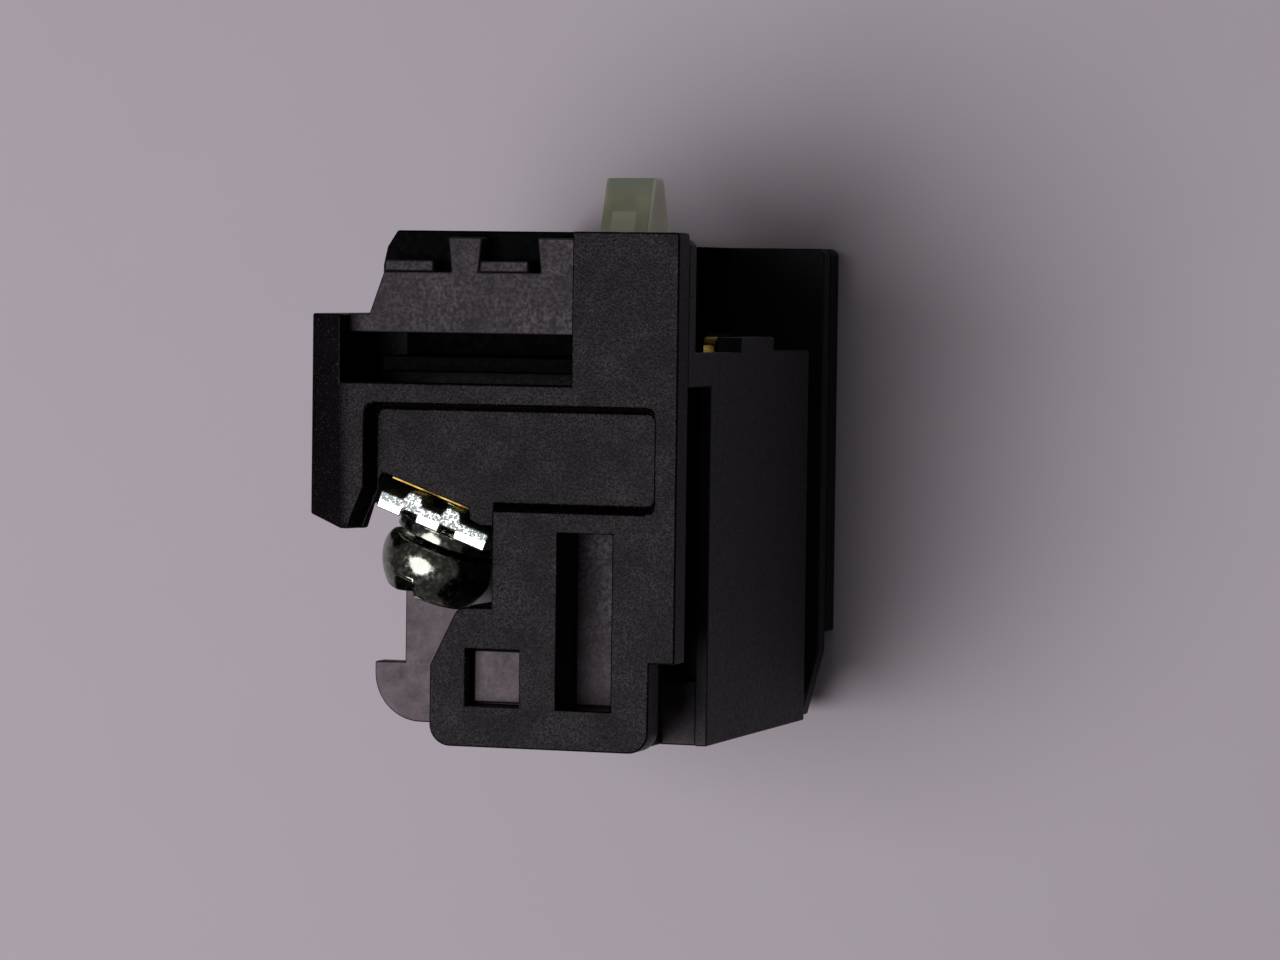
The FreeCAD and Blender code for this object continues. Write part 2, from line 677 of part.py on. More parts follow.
def add_flange_details(body, side):
    cover = S["cover_thickness"]
    flange_back = cover + S["flange_thickness"]
    rim = H + PAST
    floor = S["hook_notch_floor"]
    flare = S["hook_notch_flare"]
    first = [
        (-PAST, floor),
        (S["first_notch_right"], floor),
        (S["first_notch_right"] - flare, H),
        (S["first_notch_right"] - flare, rim),
        (-PAST, rim),
    ]
    second = [
        (S["second_notch_left"], floor),
        (S["second_notch_right"], floor),
        (S["second_notch_right"] - flare, H),
        (S["second_notch_right"] - flare, rim),
        (S["second_notch_left"] + flare, rim),
        (S["second_notch_left"] + flare, H),
    ]
    if side == "far":
        low_top = H - S["far_cover_drop"]
        corner = [
            (-PAST, low_top),
            (W - S["corner_cut"], low_top),
            (W + PAST, low_top - S["corner_cut"] - PAST),
            (W + PAST, rim),
            (-PAST, rim),
        ]
        cut_slice(body, "far_flange_top", corner, side, cover, flange_back)
        lean = S["far_foot_cut_width"] / S["far_foot_cut_height"]
        foot = [
            (W - S["far_foot_cut_width"] - lean, -1.0),
            (W + lean, S["far_foot_cut_height"] + 1),
            (W + PAST, S["far_foot_cut_height"] + 1),
            (W + PAST, -1.0),
        ]
        cut_slice(body, "far_flange_foot", foot, side, cover, flange_back)
    cut_slice(body, f"{side}_first_pocket", first, side, cover, flange_back)
    cut_slice(body, f"{side}_second_pocket", second, side, cover, flange_back)
    ledge_top = floor + S["ledge_height"]
    ledge_face = cover + S["ledge_sink"]
    for number, start in enumerate((S["ledge_start"], S["second_notch_left"]), start=1):
        ledge = rectangle(start, floor - 0.5, start + S["ledge_width"], ledge_top)
        pad_slice(body, f"{side}_ledge_{number}", ledge, side, ledge_face, flange_back)

    band = rectangle(S["guard_width"] - 0.5, S["band_bottom"] - 0.3,
                     S["frame_lobe_right"], S["band_top"])
    cut_slice(body, f"{side}_band", band, side, cover, flange_back + S["band_recess"])
    cut_channel(body, side, flange_back)
    slot = rectangle(S["slot_left"], S["slot_bottom"],
                     S["slot_left"] + S["slot_width"], S["slot_top"])
    cut_slice(body, f"{side}_slot", slot, side, cover - 1, S["slot_floor"])
    gap = S["snap_clearance"]
    boss_right = S["window_left"] + S["window_size"] - gap
    boss_top = S["window_bottom"] + S["window_size"] - gap
    boss = rectangle(S["window_left"] + gap, S["window_bottom"] + gap, boss_right, boss_top)
    pad_slice(body, f"{side}_snap_boss", boss, side, S["window_floor"], cover + 1)


def cut_channel(body, side, flange_back):
    """Near: open to the cover, with a rim. Far: behind the flange, open at the top."""
    left, floor = W - S["channel_width"], S["channel_depth"]
    if side == "far":
        channel = rectangle(left, -PAST, W + PAST, S["side_wall_top"] + PAST)
        cut_slice(body, "far_channel", channel, side, flange_back, floor)
        return
    channel = rectangle(left, -PAST, W + PAST, S["channel_top"])
    cut_slice(body, "near_channel", channel, side, S["cover_thickness"] - 1, floor)
    rim = W - S["channel_rim"]
    sink = rectangle(left, -PAST, rim, S["channel_sill"] + 0.5)
    cut_slice(body, "near_sink", sink, side, floor - 0.5, floor + S["channel_sink"])
    well = rectangle(left, S["channel_sill"], rim, S["channel_top"])
    cut_slice(body, "near_well", well, side, floor - 0.5, floor + S["channel_well"])


def add_bay_details(body, side):
    """The strip's slot through the wall and the screw's clearance hole in the ceiling."""
    clearance = S["strip_clearance"]
    bend_y = bend_point()[1]
    slot = rectangle(S["bay_right"] - 1, bend_y - clearance,
                     S["strip_blade_right"] + clearance,
                     bend_y + S["strip_thickness"] + clearance)
    cut_slice(body, f"{side}_strip_slot", slot, side,
              S["strip_neck_start"] - clearance, S["cavity_end"] + 1)
    hole = body.newObject("PartDesign::SubtractiveCylinder", f"{side}_screw_hole")
    hole.AttachmentSupport = (origin_plane(body, "XY_Plane"), [""])
    hole.MapMode = "FlatFace"
    bind(hole, "Radius", S["screw_bore"])
    length = S["screw_length"] - stack_height() + S["screw_bore_end"]
    bind(hole, "Height", length)
    hole.AttachmentOffset = Placement(Vector(0, 0, 0), tilted_axis())
    bind(hole, "AttachmentOffset.Base.x", S["terminal_x"])
    bind(hole, "AttachmentOffset.Base.y", S["terminal_y"])
    level = D - S["terminal_depth"] if side == "near" else S["terminal_depth"]
    bind(hole, "AttachmentOffset.Base.z", level)
    doc.recompute()


def tilted_axis():
    """Turns +Z to the screw axis, which points up and to the right."""
    angle = math.radians(TILT.number)
    return Rotation(Vector(0, 0, 1), Vector(math.sin(angle), math.cos(angle), 0))


def stack_height():
    """From the strip down to the underside of the screw's head."""
    washer = S["washer_thickness"] + S["washer_rise"] + S["washer_play"] * 2
    return S["rib_height"] + S["clamp_thickness"] + washer


# ---- guide frame -----------------------------------------------------------------------

def make_guide_frame():
    body = new_body("guide_frame")
    gap = S["frame_clearance"]
    start = S["cover_thickness"] + S["flange_thickness"] + gap
    left = S["seat_left"] + gap
    foot = S["seat_height"]
    right = W - S["side_wall"] - gap
    block = [
        (left, foot),
        (S["frame_block_right"], foot),
        (S["frame_block_right"], H),
        (left + S["frame_corner"], H),
        (left + S["frame_lean"], S["frame_lean_end"]),
        (left, S["frame_lean_start"]),
    ]
    pad_slice(body, "block", block, "near", start, D - start)
    deck = rectangle(left + 1, foot, right, foot + S["deck_thickness"])
    pad_slice(body, "deck", deck, "near", start, D - start)
    for side, top in (("near", H), ("far", H - S["far_cover_drop"])):
        lobe = rectangle(S["frame_block_right"] - 1, foot, S["frame_lobe_right"] - gap, top)
        pad_slice(body, f"{side}_lobe", lobe, side, start, start + S["frame_lobe_depth"])
        limit = [
            (-PAST, foot + S["deck_thickness"]),
            (W, foot + S["deck_thickness"]),
            (W, S["band_top"]),
            (-PAST, S["band_top"]),
        ]
        cut_slice(body, f"{side}_band", limit, side, start, start + S["band_recess"] - gap)
    tower_left = S["plunger_x"] - S["tower_width"] / 2
    tower = rectangle(tower_left, foot, tower_left + S["tower_width"], S["tower_top"])
    half = S["tower_depth"] / 2
    pad_slice(body, "tower", tower, "near", MIDDLE - half, MIDDLE + half)
    room = S["plunger_width"] / 2 + S["plunger_clearance"]
    guide = rectangle(S["plunger_x"] - room, foot - PAST, S["plunger_x"] + room, H + PAST)
    reach = S["plunger_depth"] / 2 + S["plunger_clearance"]
    cut_slice(body, "guide_hole", guide, "near", MIDDLE - reach, MIDDLE + reach)
    tab_left = tab_right() - S["strip_thickness"] - 0.2
    tab_slot = rectangle(tab_left, foot - PAST, W, H + PAST)
    tab_end = S["test_tab_start"] + S["test_tab_width"] + 0.2
    cut_slice(body, "tab_slot", tab_slot, "near", S["test_tab_start"] - 0.2, tab_end)
    place(body)
    return body


# ---- plunger ---------------------------------------------------------------------------

def bridge_underside():
    """Underside of the open bridge."""
    fixed_face = bend_point()[1] + S["strip_thickness"] + S["fixed_tip_height"]
    return fixed_face + S["contact_gap"] + S["moving_tip_height"]


def make_plunger():
    body = new_body("plunger")
    x = S["plunger_x"]
    foot = S["plunger_foot"]
    half = S["plunger_width"] / 2
    depth = S["plunger_depth"]
    shank = rectangle(x - half, foot, x + half, S["plunger_neck"])
    pad(body, "shank", outline(body, "shank_outline", shank, MIDDLE), depth, True)
    tip_left = x + S["tip_offset"] - S["tip_width"] / 2
    tip = rectangle(tip_left, S["plunger_neck"] - 1,
                    tip_left + S["tip_width"], S["plunger_tip"])
    pad(body, "wedge", outline(body, "wedge_outline", tip, MIDDLE), depth, True)
    stop_top = S["seat_height"] - S["stop_gap"]
    stop = rectangle(x - S["stop_width"] / 2, stop_top - S["stop_height"],
                     x + S["stop_width"] / 2, stop_top)
    pad(body, "stop", outline(body, "stop_outline", stop, MIDDLE), depth, True)
    for name, sign in (("near", 1.0), ("far", -1.0)):
        reach = S[f"tip_{name}"]
        slope = (depth / 2 - reach) / (S["plunger_tip"] - S["tip_base"])
        flank = [
            (S["tip_base"], MIDDLE + depth / 2 * sign),
            (S["plunger_tip"] + 1, MIDDLE + (reach - slope) * sign),
            (S["plunger_tip"] + 1, MIDDLE + (depth / 2 + 1) * sign),
            (S["tip_base"], MIDDLE + (depth / 2 + 1) * sign),
        ]
        sketch = outline(body, f"{name}_flank_outline", flank, x, "YZ_Plane")
        pocket(body, f"{name}_flank", sketch, W, midplane=True)
    window_foot = bridge_underside() - S["bridge_rest_gap"]
    opening = S["bridge_width"] / 2 + S["bridge_side_gap"]
    window = rectangle(x - opening, window_foot, x + opening, S["window_top"])
    pocket(body, "window", outline(body, "window_outline", window, MIDDLE), depth + 1, True)
    core = rectangle(x - S["core_width"] / 2, S["window_top"] - 1,
                     x + S["core_width"] / 2, S["core_top"])
    pocket(body, "core", outline(body, "core_outline", core, MIDDLE), S["core_depth"], True)
    seat = circle(body, "spring_circle", x, MIDDLE, S["spring_pocket_radius"], -foot, "XZ_Plane")
    pocket(body, "spring_pocket", seat, S["spring_pocket_depth"])
    place(body)
    return body


# ---- moving bridge ---------------------------------------------------------------------

def tip_depths():
    """Depths of the two contact points."""
    near = S["cavity_end"] + S["tip_inset"]
    return near, D - near


def make_bridge():
    body = new_body("contact_bridge")
    x = S["plunger_x"]
    low = bridge_underside()
    start = S["cavity_end"] + S["bridge_end_gap"]
    strip = rectangle(x - S["bridge_width"] / 2, low,
                      x + S["bridge_width"] / 2, low + S["bridge_thickness"])
    pad_slice(body, "strip", strip, "near", start, D - start)
    drill_rivet_holes(body, x, [D - depth for depth in tip_depths()])
    place(body)
    return body


def drill_rivet_holes(body, x, levels):
    for number, level in enumerate(levels, start=1):
        hole = circle(body, f"rivet_circle_{number}", x, level,
                      S["rivet_shank"] + S["rivet_clearance"], 0.0, "XZ_Plane")
        pocket(body, f"rivet_hole_{number}", hole, H * 3, midplane=True)


def rivet_profile(face_radius, face_height, grip, face_up):
    """Half section of a contact rivet; Y = 0 is the strip's face under the contact face."""
    shank = S["rivet_shank"]
    head = S["rivet_head_radius"]
    end = -(grip + S["rivet_head_height"])
    points = [
        (0.0, face_height),
        (face_radius, face_height),
        (face_radius, 0.0),
        (shank, 0.0),
        (shank, -grip),
        (head, -grip),
        (head, end),
        (0.0, end),
    ]
    return points if face_up else [(x, -as_size(y)) for x, y in points]


def make_bridge_tips():
    """Two like rivets, kept as two solids of one group."""
    pieces = []
    for number, depth in enumerate(tip_depths(), start=1):
        body = new_body(f"moving_rivet_{number}")
        profile = rivet_profile(S["moving_tip_radius"], S["moving_tip_height"],
                                S["bridge_thickness"], False)
        revolve(body, "rivet", profile)
        body.Placement = Placement(Vector(0, 0, 0), Rotation())
        bind(body, "Placement.Base.x", S["plunger_x"])
        bind(body, "Placement.Base.y", bridge_underside())
        bind(body, "Placement.Base.z", D - depth)
        pieces.append(body)
    doc.recompute()
    group = doc.addObject("Part::Compound", "bridge_contact_tips")
    group.Links = pieces
    place(group)
    return group


def make_saddle():
    body = new_body("spring_saddle")
    x = S["plunger_x"]
    low = bridge_underside() + S["bridge_thickness"]
    half = S["bridge_width"] / 2
    plate = rectangle(x - half, low, x + half, low + S["saddle_thickness"])
    sketch = outline(body, "plate_outline", plate, MIDDLE)
    pad(body, "plate", sketch, S["saddle_depth"], True)
    nose_top = low + S["saddle_thickness"] * 3
    nose = rectangle(x - half / 4, low, x + half / 4, nose_top)
    pad(body, "nose", outline(body, "nose_outline", nose, MIDDLE), half / 2, True)
    place(body)
    return body


# ---- terminals -------------------------------------------------------------------------

def bend_point():
    """Lower corner where the tilted strip turns level."""
    x = S["terminal_x"] + S["strip_bend"] * cosine(TILT)
    y = S["terminal_y"] - S["strip_bend"] * sine(TILT)
    return x, y


def make_terminal_strip(side):
    body = new_body(f"{side}_terminal_strip")
    thickness = S["strip_thickness"]
    bend_x, bend_y = bend_point()
    free_x = S["terminal_x"] - S["strip_start"] * cosine(TILT)
    free_y = S["terminal_y"] + S["strip_start"] * sine(TILT)
    profile = [
        (free_x, free_y),
        (bend_x, bend_y),
        (S["strip_blade_right"], bend_y),
        (S["strip_blade_right"], bend_y + thickness),
        (bend_x + thickness * tangent(TILT / 2), bend_y + thickness),
        (free_x + thickness * sine(TILT), free_y + thickness * cosine(TILT)),
    ]
    pad_start = S["cover_thickness"] + S["strip_cover_gap"]
    pad_end = S["strip_pad_end"]
    pad_slice(body, "strip", profile, side, pad_start, S["strip_blade_end"])
    behind = rectangle(-PAST, 0.0, bend_x, H)
    cut_slice(body, "pad_end", behind, side, pad_end, S["strip_blade_end"] + 1)
    before = rectangle(bend_x, 0.0, W, H)
    cut_slice(body, "blade_start", before, side, pad_start - 1, S["strip_neck_start"])
    if side == "near":
        tab_left = tab_right() - thickness
        blade_right = S["strip_blade_right"]
        arm = rectangle(blade_right - 0.5, bend_y, tab_right(), bend_y + thickness)
        link = rectangle(tab_left, bend_y, tab_right(), bend_y + thickness)
        tab = rectangle(tab_left, bend_y, tab_right(), S["test_tab_top"])
        tab_end = S["test_tab_start"] + S["test_tab_width"]
        pad_slice(body, "test_arm", arm, side, S["test_arm_start"], S["strip_blade_end"])
        pad_slice(body, "test_link", link, side, S["test_arm_start"], tab_end)
        pad_slice(body, "test_tab", tab, side, S["test_tab_start"], tab_end)
        round_tab(body)
    near_depth, far_depth = tip_depths()
    level = D - near_depth if side == "near" else near_depth
    drill_rivet_holes(body, S["plunger_x"], [level])
    drill_screw_hole(body, side)
    place(body)
    return body


def tab_right():
    """Right face of the test tab, beside the side wall."""
    return W - S["side_wall"] - S["test_tab_gap"]


def round_tab(body):
    """Round the upper corners of the test tab."""
    names = []
    top = S["test_tab_top"].number
    for number, edge in enumerate(body.Shape.Edges, start=1):
        ends = [vertex.Point for vertex in edge.Vertexes]
        if len(ends) == 2 and all(abs(end.y - top) < 1e-6 for end in ends):
            if abs(ends[0].x - ends[1].x) > 1e-3:
                names.append(f"Edge{number}")
    fillet(body, "tab_round", names, S["test_tab_round"])


def drill_screw_hole(body, side):
    hole = body.newObject("PartDesign::SubtractiveCylinder", "screw_hole")
    hole.AttachmentSupport = (origin_plane(body, "XY_Plane"), [""])
    hole.MapMode = "FlatFace"
    bind(hole, "Radius", S["screw_radius"] + S["screw_clearance"])
    bind(hole, "Height", S["strip_thickness"] * 3)
    hole.AttachmentOffset = Placement(Vector(0, 0, 0), tilted_axis())
    drop = S["strip_thickness"]
    bind(hole, "AttachmentOffset.Base.x", S["terminal_x"] - drop * sine(TILT))
    bind(hole, "AttachmentOffset.Base.y", S["terminal_y"] - drop * cosine(TILT))
    level = D - S["terminal_depth"] if side == "near" else S["terminal_depth"]
    bind(hole, "AttachmentOffset.Base.z", level)
    doc.recompute()


def make_fixed_tip(side):
    body = new_body(f"{side}_fixed_tip")
    profile = rivet_profile(S["fixed_tip_radius"], S["fixed_tip_height"],
                            S["strip_thickness"], True)
    revolve(body, "rivet", profile)
    near_depth, far_depth = tip_depths()
    level = D - near_depth if side == "near" else near_depth
    place(body, S["plunger_x"], bend_point()[1] + S["strip_thickness"], level)
    return body


def place_at_terminal(piece, side, turn=0.0):
    """Local Y lies along the screw axis, with Y = 0 at the strip's underside."""
    level = D - S["terminal_depth"] if side == "near" else S["terminal_depth"]
    tilt = Rotation(Vector(0, 0, 1), -TILT.number)
    spin = Rotation(Vector(0, 1, 0), turn)
    place(piece, S["terminal_x"], S["terminal_y"], level, tilt.multiply(spin))


def make_clamp_plate(side):
    body = new_body(f"{side}_clamp_plate")
    half = S["clamp_size"] / 2
    top = -S["rib_height"]
    bottom = top - S["clamp_thickness"]
    rib_half = S["rib_width"] / 2
    groove_half = S["rib_groove"] / 2
    section = [(-half, bottom)]
    for centre in (S["rib_left"], S["rib_right"]):
        section += [
            (centre - groove_half, bottom),
            (centre - groove_half, bottom + S["rib_groove_depth"]),
            (centre + groove_half, bottom + S["rib_groove_depth"]),
            (centre + groove_half, bottom),
        ]
    section += [(half, bottom), (half, top)]
    for centre in (S["rib_right"], S["rib_left"]):
        section += [
            (centre + rib_half + S["rib_flare"], top),
            (centre + rib_half, 0.0),
            (centre - rib_half, 0.0),
            (centre - rib_half - S["rib_flare"], top),
        ]
    section += [(-half, top)]
    pad(body, "plate", outline(body, "section", section, 0.0), S["clamp_size"], True)
    bore = circle(body, "bore_circle", 0.0, 0.0, S["washer_bore"], 0.0, "XZ_Plane")
    pocket(body, "bore", bore, H, midplane=True)
    place_at_terminal(body, side)
    return body


def make_spring_washer(side):
    """Square wire that makes most of a turn round the screw and springs open."""
    inner, outer = S["washer_bore"].number, S["washer_radius"].number
    half, rise = S["washer_thickness"].number / 2, S["washer_rise"].number
    foot = half + S["washer_play"].number - stack_height().number
    helix = Part.makeHelix(rise / S["washer_turn"].number, rise, (inner + outer) / 2)
    helix.translate(Vector(0, 0, foot))
    wire_section = Part.makePolygon([
        Vector(inner, 0, foot - half), Vector(outer, 0, foot - half),
        Vector(outer, 0, foot + half), Vector(inner, 0, foot + half),
        Vector(inner, 0, foot - half)])
    washer = doc.addObject("Part::Feature", f"{side}_spring_washer")
    washer.Label = f"{side}_spring_washer"
    washer.Shape = Part.Wire(helix.Edges).makePipeShell([wire_section], True, True)
    level = D - S["terminal_depth"] if side == "near" else S["terminal_depth"]
    upright = tilted_axis().multiply(Rotation(Vector(0, 0, 1), 150.0))
    place(washer, S["terminal_x"], S["terminal_y"], level, upright)
    return washer


def make_terminal_screw(side):
    body = new_body(f"{side}_terminal_screw")
    seat = -stack_height()
    rim = seat - S["head_rim"]
    crown = seat - S["head_height"]
    tip = seat + S["screw_length"]
    chamfer = S["screw_radius"] / 4
    profile = [
        (0.0, crown),
        (S["head_crown"], crown),
        (S["head_radius"] * 0.88, (rim + crown) / 2),
        (S["head_radius"], rim),
        (S["head_radius"], seat),
        (S["screw_radius"], seat),
        (S["screw_radius"], tip - chamfer),
        (S["screw_radius"] - chamfer, tip),
        (0.0, tip),
    ]
    revolve(body, "turned_screw", profile)
    half = S["driver_slot"] / 2
    deep = crown + S["driver_slot_depth"]
    slot = rectangle(-half, crown - 1, half, deep)
    pocket(body, "driver_slot", outline(body, "slot_outline", slot, 0.0), H, midplane=True)
    arm = rectangle(crown - 1, -half, deep, half)
    sketch = outline(body, "arm_outline", arm, 0.0, "YZ_Plane")
    pocket(body, "driver_arm", sketch, S["driver_cross_length"], midplane=True)
    place_at_terminal(body, side, S["driver_turn"].number)
    return body


# ---- springs ---------------------------------------------------------------------------

def make_spring(label, low, high, coil_radius, wire_radius, turns):
    """A coil spring along Y between two seats."""
    gap = S["spring_seat_gap"].number + wire_radius.number
    height = high.number - low.number - 2 * gap
    pitch = height / turns.number
    helix = Part.makeHelix(pitch, height, coil_radius.number)
    wire_section = Part.Wire(Part.makeCircle(wire_radius.number,
                                             Vector(coil_radius.number, 0, 0), Vector(0, 1, 0)))
    coil = Part.Wire(helix.Edges).makePipeShell([wire_section], True, True)
    spring = doc.addObject("Part::Feature", label)
    spring.Label = label
    spring.Shape = coil
    upright = Rotation(Vector(0, 0, 1), Vector(0, 1, 0))
    place(spring, S["plunger_x"], low + S["spring_seat_gap"] + wire_radius, MIDDLE, upright)
    return spring


# ---- build, check and write ------------------------------------------------------------

pieces = [make_housing(), make_guide_frame(), make_plunger(), make_bridge(),
          make_bridge_tips(), make_saddle()]
for side in ("near", "far"):
    pieces += [
        make_cover(side),
        make_terminal_strip(side),
        make_fixed_tip(side),
        make_clamp_plate(side),
        make_spring_washer(side),
        make_terminal_screw(side),
    ]
pieces.append(make_spring("return_spring", S["cavity_floor"],
                          S["plunger_foot"] + S["spring_pocket_depth"],
                          S["return_coil_radius"], S["return_wire"], S["return_turns"]))
pieces.append(make_spring("contact_spring",
                          bridge_underside() + S["bridge_thickness"] + S["saddle_thickness"],
                          S["window_top"],
                          S["contact_coil_radius"], S["contact_wire"], S["contact_turns"]))
doc.recompute()

for thing in doc.Objects:
    if "Invalid" in thing.State or "Error" in thing.State:
        raise ValueError(f"{thing.Label} failed: {thing.State}")

os.makedirs("parts", exist_ok=True)
for piece in pieces:
    shape = piece.Shape
    if shape.isNull() or not shape.isValid():
        raise ValueError(f"{piece.Label} has no valid shape")
    shape.exportStep(f"parts/{piece.Label}.step")
    box = shape.BoundBox
    print(f"{piece.Label}: {len(shape.Solids)} solid, {shape.Volume:.2f} mm3, "
          f"x {box.XMin:.2f} {box.XMax:.2f} y {box.YMin:.2f} {box.YMax:.2f} "
          f"z {box.ZMin:.2f} {box.ZMax:.2f}")
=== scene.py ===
import json
import math

import bmesh
import bpy
from mathutils import Matrix, Vector

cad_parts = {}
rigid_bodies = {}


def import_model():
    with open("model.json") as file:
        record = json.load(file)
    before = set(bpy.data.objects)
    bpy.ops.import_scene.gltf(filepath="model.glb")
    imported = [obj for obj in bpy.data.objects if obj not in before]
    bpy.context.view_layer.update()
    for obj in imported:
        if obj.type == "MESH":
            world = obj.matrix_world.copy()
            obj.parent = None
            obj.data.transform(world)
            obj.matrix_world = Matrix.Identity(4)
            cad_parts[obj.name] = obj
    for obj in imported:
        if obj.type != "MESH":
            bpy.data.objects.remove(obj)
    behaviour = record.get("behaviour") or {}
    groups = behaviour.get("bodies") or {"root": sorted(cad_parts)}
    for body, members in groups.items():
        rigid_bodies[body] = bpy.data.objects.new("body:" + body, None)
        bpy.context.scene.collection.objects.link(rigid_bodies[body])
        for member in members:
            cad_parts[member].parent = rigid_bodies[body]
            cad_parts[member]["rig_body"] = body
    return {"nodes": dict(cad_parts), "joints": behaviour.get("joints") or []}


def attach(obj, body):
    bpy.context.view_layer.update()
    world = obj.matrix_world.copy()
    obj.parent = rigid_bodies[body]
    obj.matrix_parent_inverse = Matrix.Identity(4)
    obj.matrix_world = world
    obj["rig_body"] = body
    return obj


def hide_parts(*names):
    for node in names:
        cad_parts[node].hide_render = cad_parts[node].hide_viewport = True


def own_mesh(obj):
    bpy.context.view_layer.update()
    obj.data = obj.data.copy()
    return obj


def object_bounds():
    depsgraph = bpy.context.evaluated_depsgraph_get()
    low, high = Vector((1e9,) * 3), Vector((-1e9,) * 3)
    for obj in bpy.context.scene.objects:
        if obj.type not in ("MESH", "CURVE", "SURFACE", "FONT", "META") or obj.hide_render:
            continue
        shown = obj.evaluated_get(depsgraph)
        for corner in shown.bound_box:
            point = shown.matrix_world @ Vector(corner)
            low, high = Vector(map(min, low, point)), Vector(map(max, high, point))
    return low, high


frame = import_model()
cad_low, cad_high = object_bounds()
MM = 0.001


# ---- Covers ----------------------------------------------------------------------------
# Two moulded plates close the block at the near and the far side. They are black glass
# filled nylon with a finely eroded face, which shows as grain and holds a little dust. Its
# lighter grain tops are partly wear and partly painted sheen, and all faces but the outer
# near ones keep the plain black as painted shade.

COVER_EDGE_ROUND = 0.13 * MM
COVER_BLACK = (0.0005, 0.0003, 0.0005, 1)
# Lighter grain tops on the near faces: partly wear, partly painted sheen of the eroded
# face.
COVER_WORN_AND_SHEEN = (0.0215, 0.0178, 0.0205, 1)
COVER_DUST = (0.030, 0.025, 0.029, 1)
COVER_GRAIN = 0.13 * MM
COVER_GRAIN_DEPTH = 0.040 * MM
COVER_ROUGHNESS = 0.34
COVER_SPECULAR = 0.052
COVER_DUST_LEVEL = 0.66

MERGE_DISTANCE = 0.002 * MM
FLAT_ANGLE = math.radians(0.6)
EDGE_ANGLE = math.radians(24)

CLOUD_SIZE = 2.4 * MM
SMUDGE_SIZE = 1.1 * MM
DUST_FINER = 0.9
DUST_FADE = 0.05
DUST_SHARE = 0.8
OUTER_LEVEL = 29.0 * MM
OUTER_FADE = 0.5 * MM
ROUGHNESS_SWING = 0.1


def place_in_scene(name, data):
    placed = bpy.data.objects.new(name, data)
    bpy.context.scene.collection.objects.link(placed)
    return placed


def moulded_copy(node, name, edge_round, segments=3):
    """The CAD piece's mesh with its triangles merged to faces and its edges rounded."""
    mesh = frame["nodes"][node].data.copy()
    mesh.name = name
    shell = bmesh.new()
    shell.from_mesh(mesh)
    bmesh.ops.remove_doubles(shell, verts=shell.verts, dist=MERGE_DISTANCE)
    bmesh.ops.dissolve_limit(shell, angle_limit=FLAT_ANGLE, verts=shell.verts,
                             edges=shell.edges)
    shell.to_mesh(mesh)
    shell.free()
    mesh.materials.clear()
    piece = place_in_scene(name, mesh)
    round_edges(piece, edge_round, segments)
    return piece


def round_edges(piece, width, segments=3):
    """Round the sharp edges, keep the flat faces flat to the light, and make one mesh."""
    piece.data.shade_smooth()
    rounding = piece.modifiers.new("edge_round", "BEVEL")
    rounding.width = width
    rounding.segments = segments
    rounding.limit_method = "ANGLE"
    rounding.angle_limit = EDGE_ANGLE
    rounding.use_clamp_overlap = False
    evening = piece.modifiers.new("even_faces", "WEIGHTED_NORMAL")
    evening.mode = "FACE_AREA"
    evening.weight = 100
    flatten(piece)


def flatten(piece):
    """Replace a piece's mesh by what its modifiers make of it."""
    name = piece.data.name
    evaluated = piece.evaluated_get(bpy.context.evaluated_depsgraph_get())
    finished = bpy.data.meshes.new_from_object(evaluated)
    piece.modifiers.clear()
    piece.data = finished
    finished.name = name


def finish_piece(piece, node, material):
    """Give a piece its material and the body of the CAD node that it stands for, and hide
    that node.
    """
    piece.data.materials.clear()
    piece.data.materials.append(material)
    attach(piece, frame["nodes"][node]["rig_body"])
    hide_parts(node)


def new_material(name, roughness, metallic=0.0, specular=0.5):
    material = bpy.data.materials.new(name)
    material.use_nodes = True
    shader = material.node_tree.nodes["Principled BSDF"]
    shader.inputs["Roughness"].default_value = roughness
    shader.inputs["Metallic"].default_value = metallic
    shader.inputs["Specular IOR Level"].default_value = specular
    return material, material.node_tree, shader


def coordinates(tree, kind):
    """X, Y and Z of a point (kind Object) or of the surface's normal (kind Normal)."""
    place = tree.nodes.new("ShaderNodeTexCoord")
    axes = tree.nodes.new("ShaderNodeSeparateXYZ")
    tree.links.new(place.outputs[kind], axes.inputs["Vector"])
    return axes.outputs


def noise(tree, size, detail, stretch=(1, 1, 1)):
    """Noise on object coordinates whose features are about size across."""
    place = tree.nodes.new("ShaderNodeTexCoord")
    spread_out = tree.nodes.new("ShaderNodeMapping")
    spread_out.inputs["Scale"].default_value = stretch
    texture = tree.nodes.new("ShaderNodeTexNoise")
    texture.inputs["Scale"].default_value = 1 / size
    texture.inputs["Detail"].default_value = detail
    tree.links.new(place.outputs["Object"], spread_out.inputs["Vector"])
    tree.links.new(spread_out.outputs["Vector"], texture.inputs["Vector"])
    return texture.outputs["Fac"]


def spread(tree, value, between, to=(0.0, 1.0)):
    """Carry a value from one pair of limits over to another, and hold it within them."""
    mapping = tree.nodes.new("ShaderNodeMapRange")
    mapping.inputs["From Min"].default_value = between[0]
    mapping.inputs["From Max"].default_value = between[1]
    mapping.inputs["To Min"].default_value = to[0]
    mapping.inputs["To Max"].default_value = to[1]
    tree.links.new(value, mapping.inputs["Value"])
    return mapping.outputs["Result"]


def mix_colour(tree, share, first, second):
    """Inputs 6 and 7 of a mix node are its two colours, and output 2 is what it makes."""
    mixer = tree.nodes.new("ShaderNodeMix")
    mixer.data_type = "RGBA"
    tree.links.new(share, mixer.inputs["Factor"])
    for socket, colour in ((mixer.inputs[6], first), (mixer.inputs[7], second)):
        if isinstance(colour, tuple):
            socket.default_value = colour
        else:
            tree.links.new(colour, socket)
    return mixer.outputs[2]


